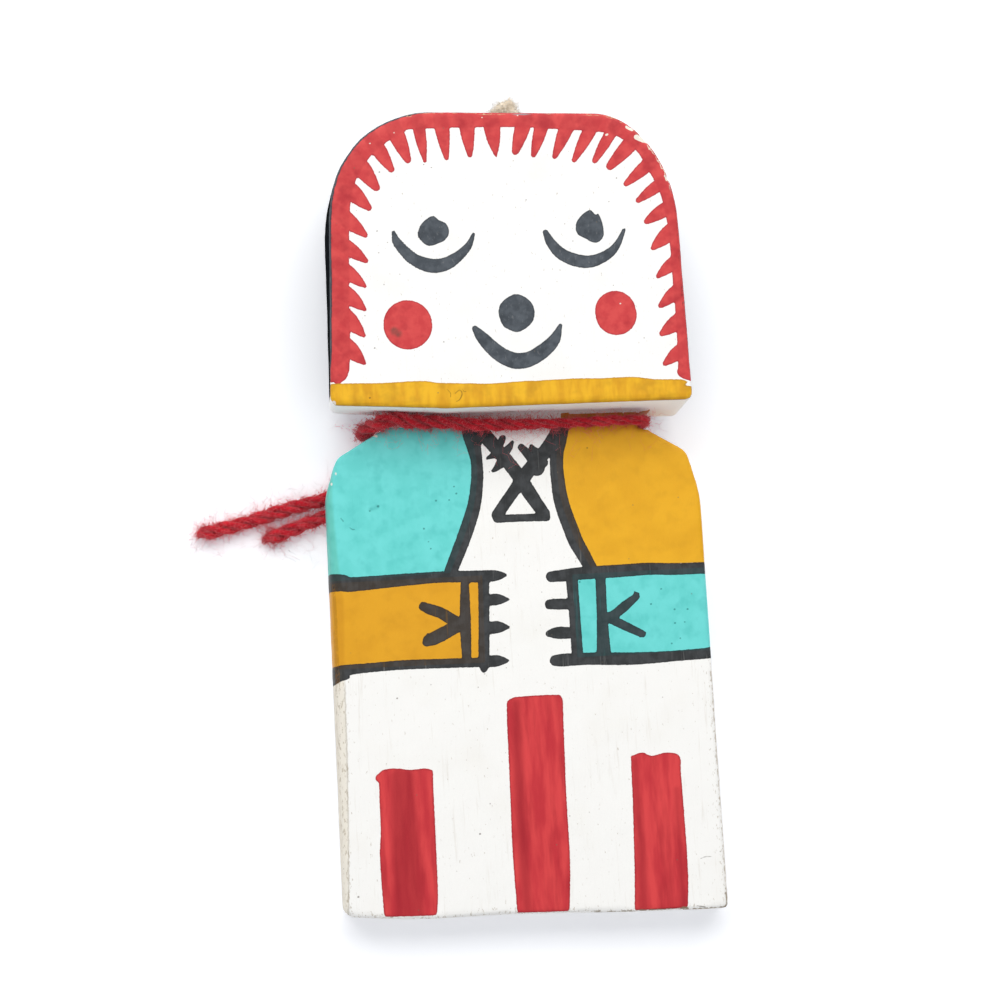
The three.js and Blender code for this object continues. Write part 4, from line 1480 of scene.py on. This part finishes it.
def refine(mesh, names, band):
    """Divides the faces that the edge of one of these paints or marks runs through."""
    paints = paint_distances(coordinates(mesh))
    nearest = np.min([np.abs(paints[name]) for name in names], axis=0)
    fine = bmesh.new()
    fine.from_mesh(mesh)
    fine.verts.ensure_lookup_table()
    faces = [f for f in fine.faces if min(nearest[v.index] for v in f.verts) < band]
    edges = {e for f in faces for e in f.edges}
    bmesh.ops.subdivide_edges(fine, edges=list(edges), cuts=1, use_grid_fill=True)
    fine.to_mesh(mesh)
    fine.free()


refine(board.data, ("red", "ochre", "teal", "black", "dirt", "bare"), EDGE_BAND)
refine(board.data, ("dirt", "bare"), SPECK_BAND)
print("With finer faces at the paint's edges it has", triangles(board.data), "triangles")

# %% [markdown]
# Sawn and pared by hand, the board isn't quite true. A slow waver moves its surface by less than a
# tenth of a millimetre, and shallow chips are missing from the crown's right corner.

# %% Hand made unevenness, and the painting's distances
LONG_WAVER = (9.0, 0.4, 0.05)
SHORT_WAVER = (2.6, 1.9, 0.03)
CHIPS = [
    # x, y, radius and depth
    (28.6, 164.2, 0.8, 0.12), (31.6, 161.9, 1.5, 0.12), (36.3, 153.2, 0.7, 0.15),
    (-37.4, 108.3, 0.9, 0.15),
]


def roughen(mesh):
    mesh.update()
    places = coordinates(mesh)
    normals = np.empty(len(mesh.vertices) * 3)
    mesh.vertices.foreach_get("normal", normals)
    normals = normals.reshape(-1, 3)
    depth = sum(rise * slow_waver(places, size, seed) for size, seed, rise in (LONG_WAVER, SHORT_WAVER))
    for x, y, radius, deepest in CHIPS:
        gap = np.hypot(places[:, 0] - x, places[:, 1] - y)
        on_front = places[:, 2] > HEAD_FRONT - 2.5
        depth -= np.where(on_front, deepest * (1 - smoothstep(gap, 0.5 * radius, radius)), 0)
    set_coordinates(mesh, places + normals * depth[:, None])
    return places


flat_places = roughen(board.data)
for colour, distances in paint_distances(flat_places).items():
    values = board.data.attributes.new(colour, "FLOAT", "POINT")
    values.data.foreach_set("value", distances.astype(np.float32))
board_place_values = board.data.attributes.new("board", "FLOAT_VECTOR", "POINT")
board_place_values.data.foreach_set("vector", flat_places.astype(np.float32).reshape(-1))
board.data.transform(board_place)
keep_above_table(board.data)
board.data.shade_smooth()
print("The board carries", ", ".join(a.name for a in board.data.attributes if a.domain == "POINT"))

# %% [markdown]
# Brush paint on primed wood. The priming is a matt, chalky white, brushed along the doll, with specks
# of dirt in it. The colours are thin and dry, so each coat shows its blotches and streaks, and a
# darker rim where its wet edge dried. All patterns are laid out in the board's own millimetres, so
# they stay put when the doll is turned, and a scale of 0.5 means a blotch every two millimetres.

# %% Helpers for the paint's patterns
PAINT_NAMES = (
    "red", "doubled", "ochre", "teal", "black", "dirt", "bare", "smudge", "pared", "rim", "head"
)


def noise(tree, vector, per_mm, detail=2.0, roughness=0.5):
    """A noise with so many waves for each millimetre of the board."""
    settings = {"Vector": vector, "Scale": per_mm, "Detail": detail, "Roughness": roughness}
    return add(tree, "ShaderNodeTexNoise", settings).outputs[0]


def remap(tree, value, low, high, to_low=0.0, to_high=1.0):
    """A soft step from one value to another."""
    ends = {"Value": value, "From Min": low, "From Max": high, "To Min": to_low, "To Max": to_high}
    return add(tree, "ShaderNodeMapRange", ends, interpolation_type="SMOOTHSTEP").outputs[0]


def mix(tree, share, below, above, blend="MIX"):
    """One colour over another. Both may be hex codes."""
    colours = [linear(c) if isinstance(c, str) else c for c in (below, above)]
    sockets = {0: share, 6: colours[0], 7: colours[1]}
    return add(tree, "ShaderNodeMix", sockets, data_type="RGBA", blend_type=blend).outputs[2]


def mix_value(tree, share, below, above):
    return add(tree, "ShaderNodeMix", {0: share, 2: below, 3: above}, data_type="FLOAT").outputs[0]


def product(tree, *factors):
    whole = factors[0]
    for factor in factors[1:]:
        whole = math_of(tree, "MULTIPLY", whole, factor)
    return whole


def drawn_out(tree, vector, across, up):
    """The board's millimetres, scaled across and up it, for a pattern that follows the brush."""
    return vector_of(tree, "MULTIPLY", vector, (across, up, across))


def board_values(tree):
    """What the board carries, as sockets, and the patterns that several coats share."""
    at = {
        name: add(tree, "ShaderNodeAttribute", attribute_name=name).outputs["Fac"]
        for name in PAINT_NAMES
    }
    where = add(tree, "ShaderNodeAttribute", attribute_name="board").outputs["Vector"]
    at["where"] = where
    at["across"], at["up"], at["height"] = add(tree, "ShaderNodeSeparateXYZ", {0: where}).outputs
    at["body"] = math_of(tree, "SUBTRACT", 1.0, at["head"])
    at["grain"] = noise(tree, drawn_out(tree, where, 1.4, 0.09), 1.0, 4.0, 0.6)
    at["streaks"] = noise(tree, drawn_out(tree, where, 1.1, 0.07), 1.0, 5.0, 0.6)
    at["broad streaks"] = noise(tree, drawn_out(tree, where, 0.6, 0.08), 1.0, 3.0, 0.55)
    at["mottle"] = noise(tree, where, 0.34, 2.0)
    at["crumble"] = noise(tree, drawn_out(tree, where, 1.9, 0.8), 1.0, 4.0, 0.65)
    at["fray"] = math_of(tree, "SUBTRACT", noise(tree, where, 0.8, 4.0, 0.6), 0.5)
    return at


print("The paint reads", len(PAINT_NAMES), "distances")

# %% [markdown]
# The priming is whiter on the face than on the body, which has been held more. Dirt lies in its brush
# marks, down the body's sides, at its edges and in the crease beside the pared left edge.

# %% The priming
WHITE_FACE = "#FCFBF9"
WHITE_BODY = "#FAF9F6"
GRIME = "#B7A992"
YELLOWED = "#D9CDB4"
SIDE_BEIGE = "#D8CEBC"
SIDE_DIRT = "#94836A"
EDGE_DIRT = "#A5977F"
CREASE_DIRT = "#998A70"
CREASE_TOP = 50.0


def priming(tree, at):
    """The white ground's colour, with its dirt."""
    where = at["where"]
    colour = mix(tree, at["head"], WHITE_BODY, WHITE_FACE)
    soiled = product(tree, remap(tree, at["grain"], 0.56, 0.8), mix_value(tree, at["head"], 0.22, 0.06))
    colour = mix(tree, soiled, colour, GRIME)
    clouds = remap(tree, noise(tree, where, 0.08, 3.0), 0.5, 0.8)
    colour = mix(tree, product(tree, clouds, 0.10), colour, YELLOWED)

    below_front = math_of(tree, "SUBTRACT", BODY_FRONT, at["height"])
    on_side = product(tree, remap(tree, below_front, 0.4, 1.4), at["body"])
    # The body's sides are tinted a little darker and more beige than its front.
    colour = mix(tree, product(tree, on_side, 0.25), colour, SIDE_BEIGE)
    marks = remap(tree, noise(tree, drawn_out(tree, where, 1.5, 0.35), 1.0, 4.0), 0.5, 0.75)
    colour = mix(tree, product(tree, on_side, 0.5, marks), colour, SIDE_DIRT)

    near_edge = product(tree, remap(tree, at["rim"], 2.6, 0.0), at["body"], 0.1)
    speckled = remap(tree, math_of(tree, "ADD", at["crumble"], near_edge), 0.64, 0.72)
    colour = mix(tree, product(tree, speckled, 0.5), colour, EDGE_DIRT)

    frayed = math_of(tree, "ADD", at["pared"], product(tree, at["fray"], 0.7))
    crease = product(
        tree,
        remap(tree, math_of(tree, "ABSOLUTE", frayed), 0.3, 0.03),
        remap(tree, at["up"], CREASE_TOP + 2, CREASE_TOP - 2),
        remap(tree, marks, 0.0, 1.0, 0.4, 0.75),
    )
    return mix(tree, crease, colour, CREASE_DIRT)


print("The priming goes from", WHITE_FACE, "on the face to", GRIME, "where it is dirty")

# %% [markdown]
# Each coat has three tones: thin, full, and where it is thickest. Blotches change the first for the
# second, and streaks or mottling bring in the third, which also draws the dried rim.

# %% One coat of thin paint
EDGE_FRAY = 0.22
EDGE_SOFTNESS = 0.06
DRIED_RIM = 0.34


def coat(tree, at, paint, tones, blotch_scale, pattern, contrast=0.55):
    """How much a coat covers, and its colour."""
    thin, full, thick = tones
    ragged = math_of(tree, "SUBTRACT", noise(tree, at["where"], 1.6, 3.0), 0.5)
    distance = math_of(tree, "ADD", at[paint], product(tree, ragged, EDGE_FRAY))
    cover = remap(tree, distance, EDGE_SOFTNESS, -EDGE_SOFTNESS)
    blotches = noise(tree, drawn_out(tree, at["where"], *blotch_scale), 1.0, 3.0)
    colour = mix(tree, remap(tree, blotches, 0.35, 0.68), thin, full)
    lines = remap(tree, pattern, 0.45, 0.75)
    colour = mix(tree, product(tree, lines, contrast), colour, thick)
    rim = remap(tree, distance, -DRIED_RIM, -EDGE_SOFTNESS)
    return cover, mix(tree, product(tree, rim, 0.7), colour, thick)


print("A coat's rim dries over", DRIED_RIM, "mm")

# %% [markdown]
# The stripes were drawn with a full, broad brush, so their tones run down them, and the red of the
# head is mottled and paler. Where the brush went twice the red is deeper. The chin is streaked ochre
# and the arms are plain, the left one a little duller. Black paint lets a little of the colour below it
# through.

# %% The coats
STRIPE_RED = ("#DE4648", "#C5313A", "#9C1C28")
FACE_RED = ("#DA4D4C", "#CD3F42", "#AA2631")
RED_TWICE = "#A01E2A"
ARM_OCHRE = ("#EDB023", "#E6A920", "#CF951B")
CHIN_OCHRE = ("#F3BA25", "#DFA11E", "#B7841B")
LEFT_ARM_SHADE = "#F7F0F6"
TURQUOISE = ("#72DDD9", "#69D6D1", "#50C0BB")
BODY_BLACK = ("#434547", "#323435", "#202224")
FACE_BLACK = ("#565C63", "#454B52", "#31363C")
BLACK_ON_OCHRE = "#5A4122"
BLACK_ON_TURQUOISE = "#1F5457"
# The head's sides take a much deeper black than its face: partly a deeper paint, partly painted shade.
SIDE_BLACK_AND_SHADE = "#14171A"
STRIPES_END = 80.0


def red_coat(tree, at):
    on_head = remap(tree, at["up"], STRIPES_END, STRIPES_END + 10)
    cover, stripes = coat(tree, at, "red", STRIPE_RED, (0.42, 0.07), at["broad streaks"], 0.4)
    _, face = coat(tree, at, "red", FACE_RED, (0.42, 0.42), at["mottle"])
    soft, crisp = (remap(tree, at["doubled"], width, -width) for width in (0.9, 0.3))
    twice = mix_value(tree, on_head, soft, crisp)
    depth = mix_value(tree, on_head, 0.62, 0.2)
    return cover, mix(tree, product(tree, twice, depth), mix(tree, on_head, stripes, face), RED_TWICE)


def ochre_coat(tree, at):
    cover, arms = coat(tree, at, "ochre", ARM_OCHRE, (0.15, 0.2), at["mottle"], 0.25)
    _, chin = coat(tree, at, "ochre", CHIN_OCHRE, (0.5, 0.13), at["mottle"], 0.4)
    on_left = product(tree, remap(tree, at["across"], 0.0, -8.0), at["body"])
    return cover, mix(tree, at["head"], mix(tree, on_left, arms, LEFT_ARM_SHADE, "MULTIPLY"), chin)


def black_coat(tree, at, ochre, turquoise):
    """The black, over an ochre and a turquoise that cover this much."""
    cover, body = coat(tree, at, "black", BODY_BLACK, (0.5, 0.5), at["streaks"])
    _, face = coat(tree, at, "black", FACE_BLACK, (0.6, 0.6), at["mottle"])
    body = mix(tree, product(tree, ochre, 0.22), body, BLACK_ON_OCHRE)
    body = mix(tree, product(tree, turquoise, 0.25), body, BLACK_ON_TURQUOISE)
    thin = remap(tree, mix_value(tree, at["head"], at["streaks"], at["crumble"]), 0.58, 0.75)
    dry = math_of(tree, "SUBTRACT", 1.0, product(tree, thin, 0.12))
    colour = mix(tree, at["head"], body, face)
    # On the head's sides the black turns deeper, partly as painted shade.
    return product(tree, cover, dry), mix(tree, head_side(tree, at), colour, SIDE_BLACK_AND_SHADE)


def head_side(tree, at):
    """The head's own sides, below its rounded front edge."""
    front = remap(tree, at["height"], HEAD_FRONT - 1.2, HEAD_FRONT - 0.5)
    return product(tree, math_of(tree, "SUBTRACT", 1.0, front), at["head"])


print("The head's red is", FACE_RED[1], "and the stripes'", STRIPE_RED[1])

# %% [markdown]
# Last come the marks of use, and some painted shade: edges that are worn to the ground or dirty, with
# painted shade along the left forearm's edge, specks all over, painted shade on the ochre under the yarn
# and on the pared edge, and the smudges, missing flecks and dirt that were placed above.

# %% Worn edges, dirt and painted shade
EDGE_WEAR_AND_SHADE = [
    # on the head (1) or the body (0), across from and to, up from and to, width, raggedness,
    # strength and colour
    (1, -20, 31, 160, 190, 0.0, 0.7, 0.8, "#CDBA92"),
    (1, 4.4, 7.4, 164, 190, 0.25, 0.6, 0.8, "#8B949B"),
    (1, 31, 60, 151, 190, 0.12, 0.7, 0.9, "#E9DEC8"),
    (1, 31, 60, 108, 152, -0.03, 0.6, 0.75, "#2B2422"),
    (0, 30, 60, -5, 50, 0.1, 1.0, 0.65, "#A08D70"),
    (0, 12, 60, -9, 3, 0.15, 1.5, 0.65, "#86765E"),
    (0, -60, 12, -9, 5, -0.05, 1.3, 0.5, "#A39175"),
    # the last stretch, darker ochre along the left forearm's edge, is painted shade
    (0, -60, -36, 50, 71, 0.1, 0.8, 0.35, "#9C6A1C"),
]
SPECK_TONE = "#6E6353"
OCHRE_IN_SHADE = "#B0672A"
# painted shade for the pared strip
PARED_SHADE = "#F3EEE4"
GROUND = "#EFE8DA"
SMUDGE_TONE = "#5E4A40"
SMUDGE_ON_TURQUOISE = "#3BA5A1"
DIRT_TONE = "#5F5446"
DIRT_ON_OCHRE = "#7D5519"
DIRT_ON_TURQUOISE = "#1E7472"


def edge_wear_and_shade(tree, at, colour):
    for on_head, left, right, low, high, width, ragged, strength, tone in EDGE_WEAR_AND_SHADE:
        inside = product(
            tree,
            remap(tree, at["across"], left - 1, left + 1),
            remap(tree, at["across"], right + 1, right - 1),
            remap(tree, at["up"], low - 2, low + 2),
            remap(tree, at["up"], high + 1, high - 1),
            at["head"] if on_head else at["body"],
        )
        away = math_of(tree, "ADD", at["rim"], product(tree, at["fray"], ragged))
        line = remap(tree, away, width + 0.1, width - 0.1)
        colour = mix(tree, product(tree, line, strength, inside), colour, tone)
    return colour


def wear_and_painted_shade(tree, at, colour, ochre, turquoise):
    """The colour with its wear and its painted shade, on an ochre and a turquoise that cover this much.
    """
    colour = edge_wear_and_shade(tree, at, colour)
    scattered = {"Vector": at["where"], "Scale": 0.22, "Randomness": 1.0}
    specks = add(tree, "ShaderNodeTexVoronoi", scattered, feature="F1").outputs["Distance"]
    colour = mix(tree, product(tree, remap(tree, specks, 0.045, 0.025), 0.45), colour, SPECK_TONE)
    # Painted shade: the ochre on the neck, under the yarn and the jaw, is darkened to brown.
    neck_shade = product(tree, remap(tree, at["up"], 102.6, 103.6), at["body"])
    colour = mix(tree, product(tree, neck_shade, ochre, 0.8), colour, OCHRE_IN_SHADE)
    # Painted shade: the pared strip on the left, which turns away, is tinted a little darker.
    pared = product(tree, remap(tree, at["pared"], 0.35, -0.5), at["body"])
    colour = mix(tree, pared, colour, PARED_SHADE, "MULTIPLY")
    smeared = product(tree, remap(tree, at["smudge"], 0.5, -0.4), noise(tree, at["where"], 1.2, 4.0))
    colour = mix(tree, smeared, colour, mix(tree, turquoise, SMUDGE_TONE, SMUDGE_ON_TURQUOISE))
    colour = mix(tree, remap(tree, at["bare"], 0.08, -0.06), colour, GROUND)
    dirt = mix(tree, turquoise, mix(tree, ochre, DIRT_TONE, DIRT_ON_OCHRE), DIRT_ON_TURQUOISE)
    return mix(tree, product(tree, remap(tree, at["dirt"], 0.08, -0.06), 0.7), colour, dirt)


print(len(EDGE_WEAR_AND_SHADE), "stretches of edge are marked")

# %% [markdown]
# The whole paint job in one material. Gouache and chalky priming are matt, with an IOR near 1.5 but
# little gloss, and the paint's film is a little smoother than the priming. The relief is only what the
# brush left: fine ridges along the board, some grit, and the coats' own thickness.

# %% Material: brush paint on primed wood
PRIMING_ROUGHNESS = 0.62
PAINT_SMOOTHER = 0.12
PAINT_GLOSS = 0.22
BRUSH_RIDGES = 0.06
GRIT = 0.02
COAT_THICKNESS = 0.035


def painted_wood():
    material, tree, shader = new_material("brush paint on primed wood")
    at = board_values(tree)
    ochre = ochre_coat(tree, at)
    turquoise = coat(tree, at, "teal", TURQUOISE, (0.3, 0.24), at["mottle"], 0.45)
    layers = [red_coat(tree, at), ochre, turquoise, black_coat(tree, at, ochre[0], turquoise[0])]
    colour = priming(tree, at)
    painted = 0.0
    for cover, coat_colour in layers:
        colour = mix(tree, cover, colour, coat_colour)
        painted = math_of(tree, "MAXIMUM", cover, painted)
    colour = wear_and_painted_shade(tree, at, colour, ochre[0], turquoise[0])
    tree.links.new(colour, shader.inputs["Base Color"])

    smoother = product(tree, painted, PAINT_SMOOTHER)
    rough = math_of(tree, "SUBTRACT", PRIMING_ROUGHNESS, smoother)
    rough = math_of(tree, "ADD", rough, product(tree, at["grain"], 0.08))
    tree.links.new(rough, shader.inputs["Roughness"])
    gloss = product(tree, math_of(tree, "SUBTRACT", 1.0, head_side(tree, at)), PAINT_GLOSS)
    shader.inputs["Specular IOR Level"].default_value = PAINT_GLOSS
    tree.links.new(gloss, shader.inputs["Specular IOR Level"])

    ridges = noise(tree, drawn_out(tree, at["where"], 3.2, 0.16), 1.0, 3.0)
    relief = math_of(
        tree,
        "ADD",
        product(tree, ridges, BRUSH_RIDGES),
        product(tree, noise(tree, at["where"], 3.0, 2.0), GRIT),
    )
    relief = math_of(tree, "ADD", relief, product(tree, painted, COAT_THICKNESS))
    bump = add(tree, "ShaderNodeBump", {"Height": relief, "Distance": MM, "Strength": 0.7})
    tree.links.new(bump.outputs["Normal"], shader.inputs["Normal"])
    return material


board.data.materials.clear()
board.data.materials.append(painted_wood())
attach(board, "root")
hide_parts("carved_figure")
print("The painted board rides on the frame with", triangles(board.data), "triangles")

# %% [markdown]
# The doll lies on a sheet of bright white paper, lit so fully that the paper is all but burnt out. Two
# broad lights stand beyond its head, to the right and to the left, and a weak one below its foot. Its
# only plain shadow is short and lies below its foot. The paper glows a little, as on a light table.

# %% The table and the light
TABLE_SIDE = 3.0
PAPER_GLOW = 0.235
LIGHT_DISTANCE = 1.3
LIGHT_SIZE = 1.1
SOFT_BOXES = [
    # where each one hangs, seen from the doll: degrees round from its right, degrees up, and watts
    ("upper right", 64.0, 47.0, 6.6),
    ("upper left", 118.0, 47.0, 8.1),
    ("below", 268.0, 35.0, 1.5),
]


def soft_light(name, place, size, power, tint):
    data = bpy.data.lights.new(name, "AREA")
    data.shape = "DISK"
    data.size = size
    data.energy = power
    data.color = linear(tint)[:3]
    made = bpy.data.objects.new(name, data)
    made.location = place
    made.rotation_euler = (-Vector(place)).to_track_quat("-Z", "Y").to_euler()
    bpy.context.scene.collection.objects.link(made)
    return made


table = bmesh.new()
bmesh.ops.create_grid(table, x_segments=1, y_segments=1, size=TABLE_SIDE / 2)
table_mesh = bpy.data.meshes.new("table")
table.to_mesh(table_mesh)
table.free()
paper, _, paper_shader = new_material("white paper")
paper_shader.inputs["Base Color"].default_value = linear("#F8F9FB")
paper_shader.inputs["Roughness"].default_value = 0.9
paper_shader.inputs["Specular IOR Level"].default_value = 0.1
paper_shader.inputs["Emission Color"].default_value = linear("#F2F5FF")
paper_shader.inputs["Emission Strength"].default_value = PAPER_GLOW
table_mesh.materials.append(paper)
floor = show("table", table_mesh)
floor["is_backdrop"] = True

world = bpy.data.worlds.new("room")
world.use_nodes = True
bpy.context.scene.world = world
sky = world.node_tree.nodes["Background"]
sky.inputs["Color"].default_value = linear("#F4F6FA")
sky.inputs["Strength"].default_value = 0.505
for name, azimuth, elevation, power in SOFT_BOXES:
    around, up = math.radians(azimuth), math.radians(elevation)
    direction = Vector((math.cos(around) * math.cos(up), math.sin(around) * math.cos(up), math.sin(up)))
    soft_light(name, direction * LIGHT_DISTANCE, LIGHT_SIZE, power, "#FFFEFB")
print("The table is", TABLE_SIDE, "m wide, under", len(SOFT_BOXES), "soft lights")

# %% [markdown]
# Last, the size of the dressed doll is written beside the size of the solids, so that the two can be
# compared.

# %% Sizes
made_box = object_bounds()
for title, box in (("The solids", cad_box), ("The dressed doll", made_box)):
    print(title, "measure", [round(v, 4) for v in box[1] - box[0]], "m")
